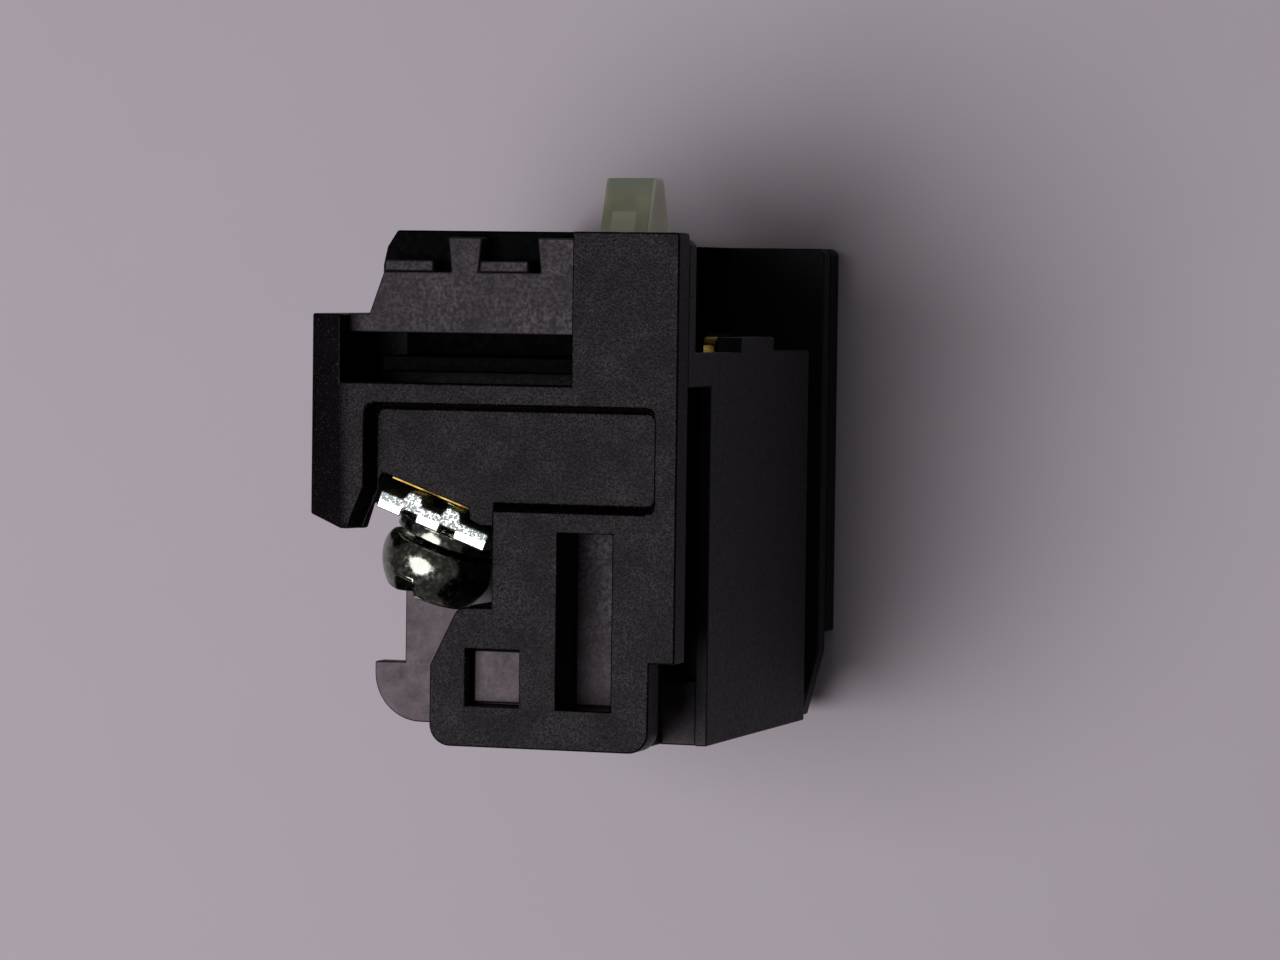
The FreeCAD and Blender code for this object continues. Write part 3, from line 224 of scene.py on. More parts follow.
def math_node(tree, operation, *values):
    node = tree.nodes.new("ShaderNodeMath")
    node.operation = operation
    for socket, value in zip(node.inputs, values):
        if isinstance(value, (int, float)):
            socket.default_value = value
        else:
            tree.links.new(value, socket)
    return node.outputs[0]


def dress(tree, shader, colour, roughness=None, height=None, depth=0.0):
    """Link the colour and roughness, and raise the surface by height's share of depth."""
    tree.links.new(colour, shader.inputs["Base Color"])
    if roughness is not None:
        tree.links.new(roughness, shader.inputs["Roughness"])
    if height is not None:
        relief = tree.nodes.new("ShaderNodeBump")
        relief.inputs["Strength"].default_value = 1.0
        relief.inputs["Distance"].default_value = depth
        tree.links.new(height, relief.inputs["Height"])
        tree.links.new(relief.outputs["Normal"], shader.inputs["Normal"])


def eroded_plastic(name, colours, grain, depth, roughness, specular, dust_level,
                   shaded_sides=None, lit_foot_and_smudge=None):
    """Base colour, worn grain tops and dust over one fine grain, which is also the relief.
    On the covers the lighter grain tops are partly painted sheen.

    The sides colour is painted shade on all faces but the outer ones of the near side. With
    it, a foot may give a colour, and the two levels of X + Y between which it fades out on
    the faces that look to the near side; that colour is painted light, broken up by
    smudges.
    """
    material, tree, shader = new_material(name, roughness, specular=specular)
    base, worn, dust = colours
    fine = noise(tree, grain, detail=3.0)
    cloud = spread(tree, noise(tree, CLOUD_SIZE, detail=5.0),
                   between=(0.36, 0.66), to=(0.1, 1.0))
    tops = spread(tree, fine, between=(0.40, 0.64), to=(0.05, 1.0))
    colour = mix_colour(tree, math_node(tree, "MULTIPLY", tops, cloud), base, worn)
    # Painted shade: faces that do not look to the near side, and inner faces below the
    # outer level, take the sides colour.
    if shaded_sides:
        point = coordinates(tree, "Object")
        normal = coordinates(tree, "Normal")
        facing = spread(tree, normal["Z"], between=(0.92, 0.98))
        outer = spread(tree, point["Z"], between=(OUTER_LEVEL, OUTER_LEVEL + OUTER_FADE))
        near_lit_share = math_node(tree, "MULTIPLY", facing, outer)
        colour = mix_colour(tree, near_lit_share, shaded_sides, colour)
        # Painted light: the near faces grow lighter towards the lower left, where the lamp
        # falls, broken up by smudges.
        if lit_foot_and_smudge:
            lit_foot_colour, foot_low, foot_high = lit_foot_and_smudge
            level = math_node(tree, "ADD", point["X"], point["Y"])
            foot = spread(tree, level, between=(foot_low, foot_high), to=(1.0, 0.0))
            smudge = spread(tree, noise(tree, SMUDGE_SIZE, detail=5.0),
                            between=(0.30, 0.66), to=(0.45, 1.0))
            lit_smudged = math_node(tree, "MULTIPLY", foot, smudge)
            lit_smudged = math_node(tree, "MULTIPLY", lit_smudged, facing)
            colour = mix_colour(tree, lit_smudged, colour, lit_foot_colour)
    grains = spread(tree, noise(tree, grain * DUST_FINER, detail=1.0),
                    between=(dust_level, dust_level + DUST_FADE), to=(0.0, DUST_SHARE))
    gloss = spread(tree, fine, between=(0.3, 0.7),
                   to=(roughness + ROUGHNESS_SWING, roughness - ROUGHNESS_SWING))
    dress(tree, shader, mix_colour(tree, grains, colour, dust), gloss, fine, depth)
    return material


cover_plastic = eroded_plastic("eroded_black_nylon",
                               (COVER_BLACK, COVER_WORN_AND_SHEEN, COVER_DUST), COVER_GRAIN,
                               COVER_GRAIN_DEPTH, COVER_ROUGHNESS,
                               COVER_SPECULAR, COVER_DUST_LEVEL, shaded_sides=COVER_BLACK)
for side in ("near", "far"):
    cover = moulded_copy(f"{side}_cover", f"{side}_cover_plate", COVER_EDGE_ROUND)
    finish_piece(cover, f"{side}_cover", cover_plastic)


# ---- Housing ---------------------------------------------------------------------------
# The dark grey nylon moulding that holds everything: flanges with hook pockets, terminal
# bays, hook shaped barriers and the closed side wall. Its near flange is dusty, and is
# painted lighter towards its lower left as painted light, broken up by smudges; its sides
# and inner faces are painted darker as painted shade.

HOUSING_EDGE_ROUND = 0.12 * MM
HOUSING_GREY = (0.013, 0.0108, 0.0125, 1)
HOUSING_PALE = (0.048, 0.040, 0.047, 1)
HOUSING_DUST = (0.075, 0.065, 0.072, 1)
# Painted shade: the darker colour of the side faces and the inner faces.
HOUSING_SHADED_SIDES = (0.010, 0.0094, 0.0112, 1)
# Painted light: the pale colour that the near flange takes towards its lower left.
HOUSING_LIT_FOOT = (0.108, 0.092, 0.100, 1)
HOUSING_FOOT_LOW = -14.0 * MM
HOUSING_FOOT_HIGH = -3.0 * MM
HOUSING_GRAIN = 0.20 * MM
HOUSING_GRAIN_DEPTH = 0.016 * MM
HOUSING_ROUGHNESS = 0.5
HOUSING_SPECULAR = 0.10
HOUSING_DUST_LEVEL = 0.74

housing_plastic = eroded_plastic("dark_grey_nylon",
                                 (HOUSING_GREY, HOUSING_PALE, HOUSING_DUST), HOUSING_GRAIN,
                                 HOUSING_GRAIN_DEPTH, HOUSING_ROUGHNESS,
                                 HOUSING_SPECULAR, HOUSING_DUST_LEVEL,
                                 shaded_sides=HOUSING_SHADED_SIDES,
                                 lit_foot_and_smudge=(HOUSING_LIT_FOOT, HOUSING_FOOT_LOW,
                                             HOUSING_FOOT_HIGH))
housing = moulded_copy("main_housing", "housing", HOUSING_EDGE_ROUND)
finish_piece(housing, "main_housing", housing_plastic)


# ---- Guide frame -----------------------------------------------------------------------
# A smooth black acetal insert between the flanges. It guides the plunger, and the hooks of
# the operator pass it in the two pockets. Its near black colour and almost nil specular are
# partly its own black and partly painted shade of the band and the pockets.

FRAME_EDGE_ROUND = 0.12 * MM
# Partly painted shade: near black, darker than the acetal, for the shade in the band and
# pockets.
FRAME_SHADE_BLACK = (0.0006, 0.0006, 0.0009, 1)
FRAME_SHEEN = (0.0010, 0.0010, 0.0014, 1)
FRAME_GRAIN = 0.5 * MM
FRAME_GRAIN_DEPTH = 0.002 * MM
FRAME_ROUGHNESS = 0.40
FRAME_SPECULAR = 0.006
FRAME_DUST_LEVEL = 0.9

frame_plastic = eroded_plastic("smooth_black_acetal",
                               (FRAME_SHADE_BLACK, FRAME_SHEEN, FRAME_SHEEN), FRAME_GRAIN,
                               FRAME_GRAIN_DEPTH, FRAME_ROUGHNESS,
                               FRAME_SPECULAR, FRAME_DUST_LEVEL)
guide_frame = moulded_copy("guide_frame", "plunger_guide_frame", FRAME_EDGE_ROUND)
finish_piece(guide_frame, "guide_frame", frame_plastic)


# ---- Plunger ---------------------------------------------------------------------------
# Pale green translucent acetal, moulded with a hollow core under its wedge shaped tip. A
# lighter band is painted where the core shows through, as painted glow, and the faces that
# look to the side are painted paler, as painted light coming through the thin side walls.

PLUNGER_EDGE_ROUND = 0.16 * MM
PLUNGER_GREEN = (0.19, 0.21, 0.125, 1)
PLUNGER_PALE = (0.25, 0.27, 0.175, 1)
# Painted glow: the lighter colour where the hollow core shows through the wall.
PLUNGER_CORE_GLOW = (0.34, 0.355, 0.25, 1)
PLUNGER_TIP = (0.155, 0.185, 0.145, 1)
# Painted light: the paler colour of the side faces, for light coming through the walls.
PLUNGER_SIDE_GLOW = (0.55, 0.55, 0.44, 1)
PLUNGER_ROUGHNESS = 0.4
PLUNGER_SPECULAR = 0.4
MOTTLE_SIZE = 1.6 * MM
SKIN_GRAIN = 0.35 * MM
SKIN_DEPTH = 0.004 * MM
CORE_MIDDLE = 3.4 * MM
CORE_HALF = 0.80 * MM
CORE_TOP = 15.15 * MM
CORE_FADE = 0.05 * MM
CORE_SHARE = 0.7
TIP_TOP = 17.25 * MM
TIP_FADE_START = TIP_TOP - 1.3 * MM
TIP_FADE_END = TIP_TOP - 0.3 * MM
TIP_SHARE = 0.8
GLOW_SHARE = 0.8
GLOW_RADIUS = (1.0, 1.0, 0.8)
GLOW_DEPTH = 1.8 * MM

plunger_plastic, tree, shader = new_material("pale_green_acetal", PLUNGER_ROUGHNESS,
                                             specular=PLUNGER_SPECULAR)
point = coordinates(tree, "Object")
mottle = spread(tree, noise(tree, MOTTLE_SIZE, detail=3.0), between=(0.35, 0.7))
wall_colour = mix_colour(tree, mottle, PLUNGER_GREEN, PLUNGER_PALE)
solid = spread(tree, point["Y"], between=(TIP_FADE_START, TIP_FADE_END),
               to=(0.0, TIP_SHARE))
wall_colour = mix_colour(tree, solid, wall_colour, PLUNGER_TIP)
# Painted glow: a lighter band under the tip where the hollow core shows through.
middle = math_node(tree, "COMPARE", point["X"], CORE_MIDDLE, CORE_HALF)
under_tip = spread(tree, point["Y"], between=(CORE_TOP - CORE_FADE, CORE_TOP + CORE_FADE),
                   to=(CORE_SHARE, 0.0))
core_glow_share = math_node(tree, "MULTIPLY", middle, under_tip)
wall_colour = mix_colour(tree, core_glow_share, wall_colour, PLUNGER_CORE_GLOW)
# Painted light: faces that look to the side are painted paler.
side_glow_share = spread(tree, coordinates(tree, "Normal")["X"], between=(0.4, 0.9))
wall_colour = mix_colour(tree, side_glow_share, wall_colour, PLUNGER_SIDE_GLOW)
dress(tree, shader, wall_colour, height=noise(tree, SKIN_GRAIN, detail=3.0),
      depth=SKIN_DEPTH)
shader.inputs["Subsurface Weight"].default_value = GLOW_SHARE
shader.inputs["Subsurface Radius"].default_value = GLOW_RADIUS
shader.inputs["Subsurface Scale"].default_value = GLOW_DEPTH
plunger = moulded_copy("plunger", "plunger_wedge", PLUNGER_EDGE_ROUND)
finish_piece(plunger, "plunger", plunger_plastic)


# ---- Terminal screws -------------------------------------------------------------------
# M3.5 pan head screws of zinc plated steel, rolled thread, with a driver slot crossed by a
# shorter arm. Both lie on tilted axes and are turned with their joints.

STRIP_TO_HEAD = 2.89 * MM
HEAD_BASE = -STRIP_TO_HEAD
HEAD_RADIUS = 3.5 * MM
HEAD_NECK = 3.0 * MM
HEAD_RIM = 1.0 * MM
HEAD_CROWN = 2.5 * MM
HEAD_HEIGHT = 3.4 * MM
HEAD_EDGE_ROUND = 0.09 * MM
HEAD_UNDERCUT = 0.01 * MM
RIM_STEPS = 8
CROWN_STEPS = 13
CROWN_DROP = 0.1 * MM
TOP_RINGS = ((0.06 * MM, 0.75), (0.0, 0.2))
SHANK_LENGTH = 7.0 * MM
SHANK_POINT = 1.1 * MM
SHANK_CHAMFER = 0.4 * MM
THREAD_CORE = 1.42 * MM
THREAD_PITCH = 0.6 * MM
THREAD_RIDGE = 0.34 * MM
THREAD_GAP = 0.5 * MM
THREAD_LENGTH = SHANK_LENGTH - 1.2 * MM
SLOT_WIDTH = 1.25 * MM
SLOT_DEPTH = 1.05 * MM
SLOT_LENGTH = 16.0 * MM
CROSS_LENGTH = 4.6 * MM
CROSS_DEPTH_SHARE = 0.85
SLOT_TURN = math.radians(77)
ZINC = (0.13, 0.145, 0.115, 1)
ZINC_BRIGHT = (0.36, 0.385, 0.32, 1)
ZINC_ROUGHNESS = 0.17
ZINC_GRAIN = 0.32 * MM
ZINC_GRAIN_DEPTH = 0.007 * MM


def geometry_tree(name, inputs):
    """A node tree with named inputs, and its input and output nodes."""
    tree = bpy.data.node_groups.new(name, "GeometryNodeTree")
    tree.interface.new_socket("Geometry", in_out="INPUT", socket_type="NodeSocketGeometry")
    tree.interface.new_socket("Geometry", in_out="OUTPUT", socket_type="NodeSocketGeometry")
    for label, kind in inputs:
        tree.interface.new_socket(label, in_out="INPUT", socket_type=f"NodeSocket{kind}")
    return tree, tree.nodes.new("NodeGroupInput"), tree.nodes.new("NodeGroupOutput")


def add(tree, kind, links=(), **values):
    """A node with its sockets linked from outputs or set to values."""
    node = tree.nodes.new(kind)
    for socket, value in values.items():
        node.inputs[socket.replace("_", " ")].default_value = value
    for socket, source in links:
        tree.links.new(source, node.inputs[socket])
    return node


def lead_out(tree, geometry, metal, made):
    """Make the shape real, set its metal, and lead it to the tree's output."""
    real = add(tree, "GeometryNodeRealizeInstances", (("Geometry", geometry),))
    plated = add(tree, "GeometryNodeSetMaterial", (
        ("Geometry", real.outputs[0]), ("Material", metal)))
    tree.links.new(plated.outputs[0], made.inputs[0])


def run_tree(piece, tree, values):
    """Set the tree's inputs on a modifier, by the sockets' identifiers, and apply it."""
    modifier = piece.modifiers.new(tree.name, "NODES")
    modifier.node_group = tree
    for item in tree.interface.items_tree:
        if item.in_out == "INPUT" and item.name in values:
            modifier[item.identifier] = values[item.name]
    flatten(piece)


screw_tree, given, made = geometry_tree("slotted_pan_head_screw", (
    ("Slot Width", "Float"), ("Slot Depth", "Float"), ("Slot Length", "Float"),
    ("Cross Length", "Float"), ("Slot Turn", "Float"), ("Head Reach", "Float"),
    ("Thread Length", "Float"), ("Thread Start", "Float"), ("Thread Radius", "Float"),
    ("Pitch", "Float"), ("Ridge", "Float"), ("Metal", "Material")))
reach = given.outputs
turned_radius = add(screw_tree, "GeometryNodeInputNamedAttribute", Name="turned_radius")
axis_line = add(screw_tree, "GeometryNodeMeshToCurve", (("Mesh", reach["Geometry"]),))
lathe = add(screw_tree, "GeometryNodeCurvePrimitiveCircle", Resolution=96, Radius=1.0)
turned = add(screw_tree, "GeometryNodeCurveToMesh", (
    ("Curve", axis_line.outputs[0]), ("Profile Curve", lathe.outputs[0]),
    ("Scale", turned_radius.outputs["Attribute"])), Fill_Caps=True)
slotted = screw_tree.nodes.new("GeometryNodeMeshBoolean")
slotted.operation = "DIFFERENCE"
slotted.solver = "EXACT"
screw_tree.links.new(turned.outputs[0], slotted.inputs["Mesh 1"])
for length, depth_share, quarter in (("Slot Length", 1.0, 0.0),
                                     ("Cross Length", CROSS_DEPTH_SHARE, math.pi / 2)):
    # A cutter's middle lies on the head's top, so it is twice as high as it cuts deep.
    deep = math_node(screw_tree, "MULTIPLY", reach["Slot Depth"], 2 * depth_share)
    size = add(screw_tree, "ShaderNodeCombineXYZ", (
        ("X", reach[length]), ("Y", reach["Slot Width"]), ("Z", deep)))
    block = add(screw_tree, "GeometryNodeMeshCube", (("Size", size.outputs[0]),))
    level = add(screw_tree, "ShaderNodeCombineXYZ", (
        ("Z", math_node(screw_tree, "MULTIPLY", reach["Head Reach"], -1.0)),))
    swing = add(screw_tree, "ShaderNodeCombineXYZ", (
        ("Z", math_node(screw_tree, "ADD", reach["Slot Turn"], quarter)),))
    cutter = add(screw_tree, "GeometryNodeTransform", (
        ("Geometry", block.outputs[0]), ("Translation", level.outputs[0]),
        ("Rotation", swing.outputs[0])))
    screw_tree.links.new(cutter.outputs[0], slotted.inputs["Mesh 2"])
helix = add(screw_tree, "GeometryNodeCurveSpiral", (
    ("Rotations", math_node(screw_tree, "DIVIDE", reach["Thread Length"], reach["Pitch"])),
    ("Start Radius", reach["Thread Radius"]), ("End Radius", reach["Thread Radius"]),
    ("Height", reach["Thread Length"])), Resolution=28)
ridge = add(screw_tree, "GeometryNodeCurvePrimitiveCircle", (("Radius", reach["Ridge"]),),
            Resolution=4)
thread = add(screw_tree, "GeometryNodeCurveToMesh", (
    ("Curve", helix.outputs[0]), ("Profile Curve", ridge.outputs[0])), Fill_Caps=True)
start = add(screw_tree, "ShaderNodeCombineXYZ", (("Z", reach["Thread Start"]),))
threaded = add(screw_tree, "GeometryNodeTransform", (
    ("Geometry", thread.outputs[0]), ("Translation", start.outputs[0])))
both = screw_tree.nodes.new("GeometryNodeJoinGeometry")
screw_tree.links.new(slotted.outputs["Mesh"], both.inputs[0])
screw_tree.links.new(threaded.outputs[0], both.inputs[0])
lead_out(screw_tree, both.outputs[0], reach["Metal"], made)

zinc, tree, shader = new_material("zinc_plate", ZINC_ROUGHNESS, metallic=1.0)
worn = noise(tree, ZINC_GRAIN, detail=5.0)
zinc_colour = mix_colour(tree, spread(tree, worn, between=(0.45, 0.75)), ZINC, ZINC_BRIGHT)
dress(tree, shader, zinc_colour, spread(tree, worn, between=(0.35, 0.7), to=(0.10, 0.28)),
      worn, ZINC_GRAIN_DEPTH)

turned_stations = [
    (HEAD_BASE + SHANK_LENGTH, SHANK_POINT),
    (HEAD_BASE + SHANK_LENGTH - SHANK_CHAMFER, THREAD_CORE),
    (HEAD_BASE, THREAD_CORE),
    (HEAD_BASE - HEAD_UNDERCUT, HEAD_NECK),
]
for step in range(1, RIM_STEPS + 1):
    turn = math.radians(90 * step / RIM_STEPS)
    turned_stations.append((HEAD_BASE - HEAD_RIM * (1 - math.cos(turn)),
                            HEAD_NECK + (HEAD_RADIUS - HEAD_NECK) * math.sin(turn)))
for step in range(1, CROWN_STEPS):
    turn = math.radians(90 * step / CROWN_STEPS)
    turned_stations.append((
        HEAD_BASE - HEAD_RIM - (HEAD_HEIGHT - HEAD_RIM - CROWN_DROP) * math.sin(turn),
        HEAD_CROWN + (HEAD_RADIUS - HEAD_CROWN) * math.cos(turn) ** 2))
turned_stations += [(HEAD_BASE - HEAD_HEIGHT + drop, HEAD_CROWN * share)
                    for drop, share in TOP_RINGS]


def joint_named(name):
    return next(joint for joint in frame["joints"] if joint["name"] == name)


def on_axis(joint_name):
    """Turns a piece drawn along Z on to the joint's axis, with its origin at the strip."""
    joint = joint_named(joint_name)
    inward = -Vector(joint["axis"]).normalized()
    depth = Vector((0, 0, 1))
    side = depth.cross(inward).normalized()
    turn = Matrix((side, depth, inward)).transposed().to_4x4()
    return Matrix.Translation(Vector(joint["pos_m"])) @ turn


for side in ("near", "far"):
    line = bpy.data.meshes.new(f"{side}_pan_head_screw")
    line.from_pydata([(0, 0, z) for z, _ in turned_stations],
                     [(i, i + 1) for i in range(len(turned_stations) - 1)], [])
    radii = line.attributes.new("turned_radius", "FLOAT", "POINT")
    for i, (_, radius) in enumerate(turned_stations):
        radii.data[i].value = radius
    screw = place_in_scene(f"{side}_pan_head_screw", line)
    run_tree(screw, screw_tree, {
        "Slot Width": SLOT_WIDTH, "Slot Depth": SLOT_DEPTH, "Slot Length": SLOT_LENGTH,
        "Cross Length": CROSS_LENGTH, "Slot Turn": SLOT_TURN,
        "Head Reach": STRIP_TO_HEAD + HEAD_HEIGHT, "Thread Length": THREAD_LENGTH,
        "Thread Start": HEAD_BASE + THREAD_GAP, "Thread Radius": THREAD_CORE,
        "Pitch": THREAD_PITCH, "Ridge": THREAD_RIDGE, "Metal": zinc})
    screw.data.transform(on_axis(f"{side}_screw_turn"))
    round_edges(screw, HEAD_EDGE_ROUND)
    finish_piece(screw, f"{side}_terminal_screw", zinc)


# ---- Spring washers --------------------------------------------------------------------
# Split rings of square wire between each screw head and its clamp plate. The ends are cut
# and spring a little apart.

WASHER_RADIUS = 2.5 * MM
WASHER_WIRE = 1.14 * MM
WASHER_HEIGHT = 0.79 * MM
WASHER_LIFT = 0.33 * MM
WASHER_TURN = 0.965
WASHER_PLAY = 0.02 * MM
WASHER_EDGE_ROUND = 0.10 * MM

washer_tree, given, made = geometry_tree("split_spring_washer", (
    ("Radius", "Float"), ("Wire Width", "Float"), ("Wire Height", "Float"),
    ("Spring", "Float"), ("Turns", "Float"), ("Metal", "Material")))
reach = given.outputs
coil = add(washer_tree, "GeometryNodeCurveSpiral", (
    ("Start Radius", reach["Radius"]), ("End Radius", reach["Radius"]),
    ("Height", reach["Spring"]), ("Rotations", reach["Turns"])), Resolution=72)
wire = add(washer_tree, "GeometryNodeCurvePrimitiveQuadrilateral", (
    ("Width", reach["Wire Width"]), ("Height", reach["Wire Height"])))
ring = add(washer_tree, "GeometryNodeCurveToMesh", (
    ("Curve", coil.outputs[0]), ("Profile Curve", wire.outputs[0])), Fill_Caps=True)
lead_out(washer_tree, ring.outputs[0], reach["Metal"], made)

for side in ("near", "far"):
    name = f"{side}_split_washer"
    washer = place_in_scene(name, bpy.data.meshes.new(name))
    run_tree(washer, washer_tree, {
        "Radius": WASHER_RADIUS, "Wire Width": WASHER_WIRE, "Wire Height": WASHER_HEIGHT,
        "Spring": WASHER_LIFT, "Turns": WASHER_TURN, "Metal": zinc})
    seat = Matrix.Translation((0, 0, HEAD_BASE + WASHER_PLAY + WASHER_HEIGHT / 2))
    washer.data.transform(on_axis(f"{side}_screw_turn") @ seat)
    round_edges(washer, WASHER_EDGE_ROUND)
    finish_piece(washer, f"{side}_spring_washer", zinc)


# ---- Clamp plates ----------------------------------------------------------------------
# Square plates stamped from zinc plated steel, with two ribs that press on the wire. Their
# cut edges show a burnished band below and a torn, grainy band above.

PLATE_EDGE_ROUND = 0.13 * MM
PLATE_BRIGHT = (0.80, 0.81, 0.80, 1)
PLATE_TORN = (0.13, 0.18, 0.15, 1)
PLATE_ROUGHNESS = 0.25
PLATE_TILT = math.radians(20)
TORN_LEVEL = 1.15 * MM
TORN_FADE = 0.06 * MM
TORN_GRAIN = 0.15 * MM
TORN_DEPTH = 0.03 * MM

clamp_steel, tree, shader = new_material("stamped_zinc_plate", PLATE_ROUGHNESS,
                                         metallic=1.0)
screw_place = joint_named("near_screw_turn")["pos_m"]
place = tree.nodes.new("ShaderNodeTexCoord")
tilt = tree.nodes.new("ShaderNodeVectorRotate")
tilt.rotation_type = "Z_AXIS"
tilt.inputs["Angle"].default_value = PLATE_TILT
tilt.inputs["Center"].default_value = screw_place
upright = tree.nodes.new("ShaderNodeSeparateXYZ")
tree.links.new(place.outputs["Object"], tilt.inputs["Vector"])
tree.links.new(tilt.outputs["Vector"], upright.inputs["Vector"])
torn_from = screw_place[1] - TORN_LEVEL
torn = spread(tree, upright.outputs["Y"],
              between=(torn_from - TORN_FADE, torn_from + TORN_FADE))
grit = spread(tree, noise(tree, TORN_GRAIN, detail=2.0), between=(0.38, 0.60),
              to=(0.2, 1.0))
gritty = math_node(tree, "MULTIPLY", torn, grit)
dress(tree, shader, mix_colour(tree, gritty, PLATE_BRIGHT, PLATE_TORN),
      spread(tree, gritty, between=(0, 1), to=(0.22, 0.5)), gritty, TORN_DEPTH)
for side in ("near", "far"):
    plate = moulded_copy(f"{side}_clamp_plate", f"{side}_ribbed_plate", PLATE_EDGE_ROUND)
    finish_piece(plate, f"{side}_clamp_plate", clamp_steel)


# ---- Strips, bridge and contacts -------------------------------------------------------
# Stamped brass strips lead from the terminals to the contacts, and a moving brass bridge
# joins them. The rivets are silver. A small steel cap seats the contact spring.

STRIP_EDGE_ROUND = 0.06 * MM
BRASS = (0.20, 0.135, 0.030, 1)
BRASS_TARNISHED = (0.10, 0.066, 0.014, 1)
BRASS_ROUGHNESS = 0.3
TARNISH_SIZE = 0.9 * MM
ROLLING_SIZE = 0.25 * MM
ROLLING_STRETCH = (0.2, 1.0, 1.0)
ROLLING_DEPTH = 0.003 * MM
SILVER = (0.84, 0.83, 0.80, 1)
SILVER_DULLED = (0.62, 0.60, 0.56, 1)
SILVER_ROUGHNESS = 0.28
SILVER_GRAIN = 0.6 * MM
SILVER_GRAIN_DEPTH = 0.004 * MM
STEEL = (0.50, 0.50, 0.49, 1)
STEEL_BRIGHT = (0.66, 0.66, 0.65, 1)
STEEL_ROUGHNESS = 0.25
STEEL_GRAIN = 0.2 * MM
STEEL_GRAIN_DEPTH = 0.002 * MM

brass, tree, shader = new_material("rolled_brass", BRASS_ROUGHNESS, metallic=1.0)
tarnish = spread(tree, noise(tree, TARNISH_SIZE, detail=4.0), between=(0.35, 0.7))
rolling = noise(tree, ROLLING_SIZE, detail=2.0, stretch=ROLLING_STRETCH)
dress(tree, shader, mix_colour(tree, tarnish, BRASS, BRASS_TARNISHED),
      spread(tree, rolling, between=(0.3, 0.7), to=(0.22, 0.40)), rolling, ROLLING_DEPTH)
for side in ("near", "far"):
    strip = moulded_copy(f"{side}_terminal_strip", f"{side}_brass_strip",
                         STRIP_EDGE_ROUND, segments=2)
    finish_piece(strip, f"{side}_terminal_strip", brass)

silver, tree, shader = new_material("contact_silver", SILVER_ROUGHNESS, metallic=1.0)
dulled = spread(tree, noise(tree, SILVER_GRAIN, detail=4.0), between=(0.35, 0.7))
dress(tree, shader, mix_colour(tree, dulled, SILVER, SILVER_DULLED),
      spread(tree, dulled, between=(0, 1), to=(0.2, 0.4)), dulled, SILVER_GRAIN_DEPTH)

wire_steel, tree, shader = new_material("drawn_spring_wire", STEEL_ROUGHNESS, metallic=1.0)
drawn = noise(tree, STEEL_GRAIN, detail=3.0)
dress(tree, shader, mix_colour(tree, drawn, STEEL, STEEL_BRIGHT), height=drawn,
      depth=STEEL_GRAIN_DEPTH)

CARRIED = {
    "contact_bridge": brass, "near_fixed_tip": silver, "far_fixed_tip": silver,
    "bridge_contact_tips": silver, "spring_saddle": wire_steel,
}
for node, material in CARRIED.items():
    frame["nodes"][node].data.materials.clear()
    frame["nodes"][node].data.materials.append(material)


# ---- Coil springs ----------------------------------------------------------------------
# Coils of drawn steel wire. The return spring stands on the housing under the plunger, and
# the contact spring on the bridge's saddle. In the real block both shorten when the plunger
# is pressed; here they keep the length they are drawn at.

COIL_EDGE_ROUND = 0.01 * MM
SHORTENING = {"return_spring": 3.0 * MM, "contact_spring": 1.0 * MM}

for node, stroke in SHORTENING.items():
    coil = moulded_copy(node, f"{node}_coil", COIL_EDGE_ROUND, segments=1)
    finish_piece(coil, node, wire_steel)
    levels = [vertex.co.y for vertex in coil.data.vertices]
    length = max(levels) - min(levels)
    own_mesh(coil)


# ---- Table, lamp and camera ------------------------------------------------------------
# The block lies on its far cover on a pale table. One broad soft lamp stands low on the
# left, in a dim room, and a long lens looks at the near cover from the right.

TABLE_HALF = 0.8
TABLE_COLOUR = (0.385, 0.366, 0.385, 1)
TABLE_MOTTLE = (0.375, 0.350, 0.372, 1)
TABLE_MOTTLE_SIZE = 9 * MM
TABLE_ROUGHNESS = 0.7
TABLE_SPECULAR = 0.2

floor_mesh = bpy.data.meshes.new("table_top")
floor_mesh.from_pydata([(-TABLE_HALF, -TABLE_HALF, 0), (TABLE_HALF, -TABLE_HALF, 0),
                        (TABLE_HALF, TABLE_HALF, 0), (-TABLE_HALF, TABLE_HALF, 0)],
                       [], [(0, 1, 2, 3)])
floor = place_in_scene("table_top", floor_mesh)
laminate, tree, shader = new_material("table_laminate", TABLE_ROUGHNESS,
                                      specular=TABLE_SPECULAR)
dress(tree, shader, mix_colour(tree, noise(tree, TABLE_MOTTLE_SIZE, detail=3.0),
                               TABLE_COLOUR, TABLE_MOTTLE))
floor_mesh.materials.append(laminate)

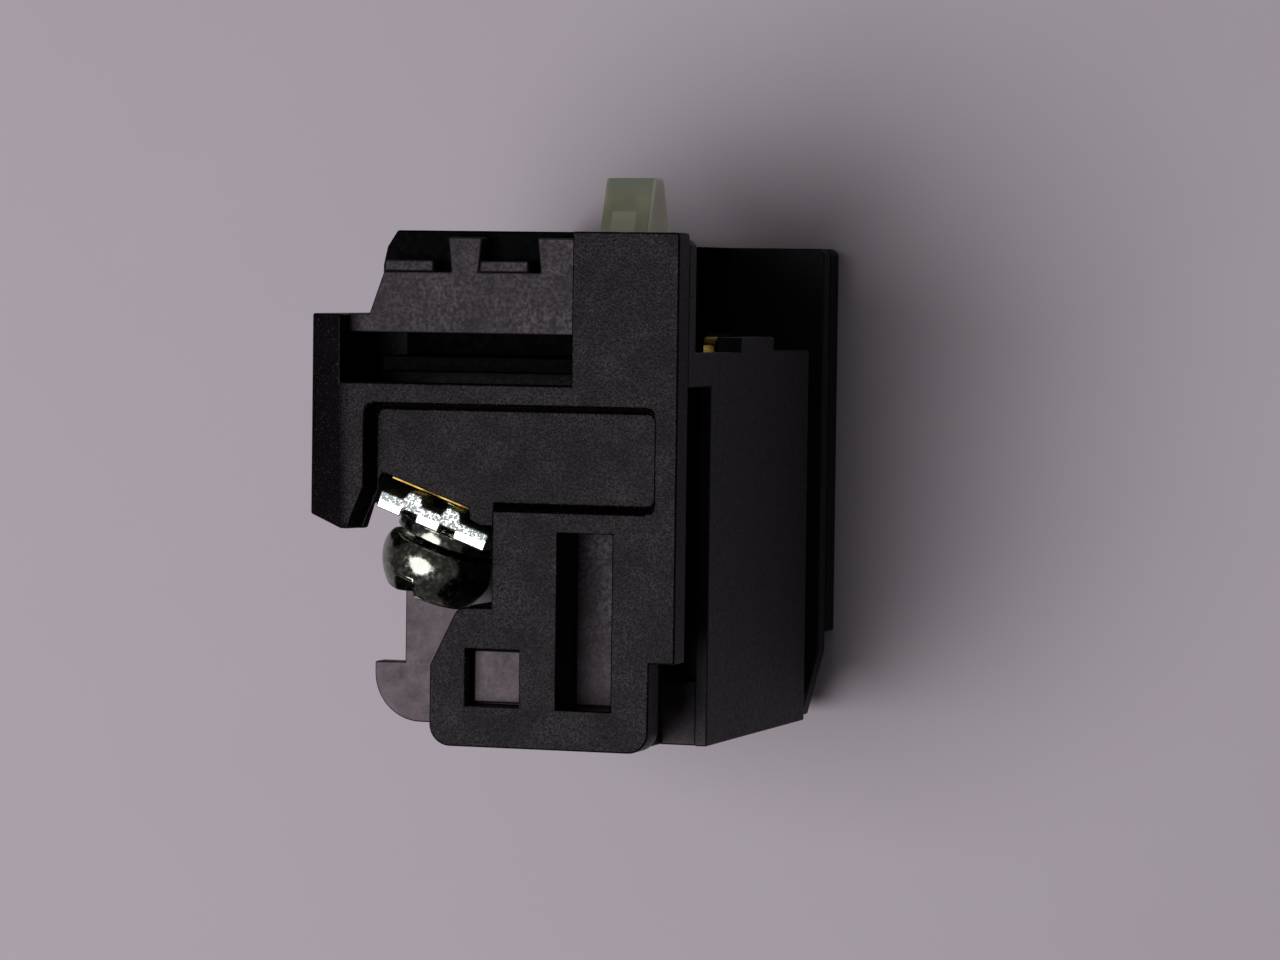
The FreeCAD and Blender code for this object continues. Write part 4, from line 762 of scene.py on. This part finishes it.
LAMP_DISTANCE = 0.35
LAMP_LEFT = math.radians(17)
LAMP_LOW = math.radians(9)
LAMP_WIDTH = 0.26
LAMP_POWER = 1.2
LAMP_COLOUR = (1.0, 0.94, 1.0)
ROOM_COLOUR = (1.0, 0.93, 1.0, 1)
ROOM_STRENGTH = 0.115

lamp_data = bpy.data.lights.new("soft_lamp", "AREA")
lamp_data.shape = "DISK"
lamp_data.size = LAMP_WIDTH
lamp_data.energy = LAMP_POWER
lamp_data.color = LAMP_COLOUR
lamp = place_in_scene("soft_lamp", lamp_data)
towards = Vector((-math.tan(LAMP_LEFT), -math.tan(LAMP_LOW), 1))
lamp.location = towards.normalized() * LAMP_DISTANCE
lamp.rotation_mode = "QUATERNION"
lamp.rotation_quaternion = towards.to_track_quat("Z", "Y")

world = bpy.data.worlds.new("room")
bpy.context.scene.world = world
world.use_nodes = True
world.node_tree.nodes["Background"].inputs["Color"].default_value = ROOM_COLOUR
world.node_tree.nodes["Background"].inputs["Strength"].default_value = ROOM_STRENGTH

CAMERA_LENS = 143.0
CAMERA_SENSOR = 36.0
CAMERA_CLIP = (0.01, 10.0)
CAMERA_DISTANCE = 301.4 * MM
CAMERA_TARGET = Vector((9.62 * MM, -0.93 * MM, cad_high.z))
CAMERA_YAW = math.radians(18.53)
CAMERA_PITCH = math.radians(2.32)
CAMERA_ROLL = math.radians(0.74)

camera_data = bpy.data.cameras.new("camera")
camera_data.lens = CAMERA_LENS
camera_data.sensor_width = CAMERA_SENSOR
camera_data.clip_start, camera_data.clip_end = CAMERA_CLIP
camera = place_in_scene("camera", camera_data)
turn = Matrix.Rotation(CAMERA_YAW, 4, "Y") @ Matrix.Rotation(-CAMERA_PITCH, 4, "X")
turn = turn @ Matrix.Rotation(CAMERA_ROLL, 4, "Z")
back = turn.to_3x3() @ Vector((0, 0, 1))
camera.matrix_world = Matrix.Translation(CAMERA_TARGET + back * CAMERA_DISTANCE) @ turn
bpy.context.scene.camera = camera
bpy.context.scene.view_settings.view_transform = "Standard"
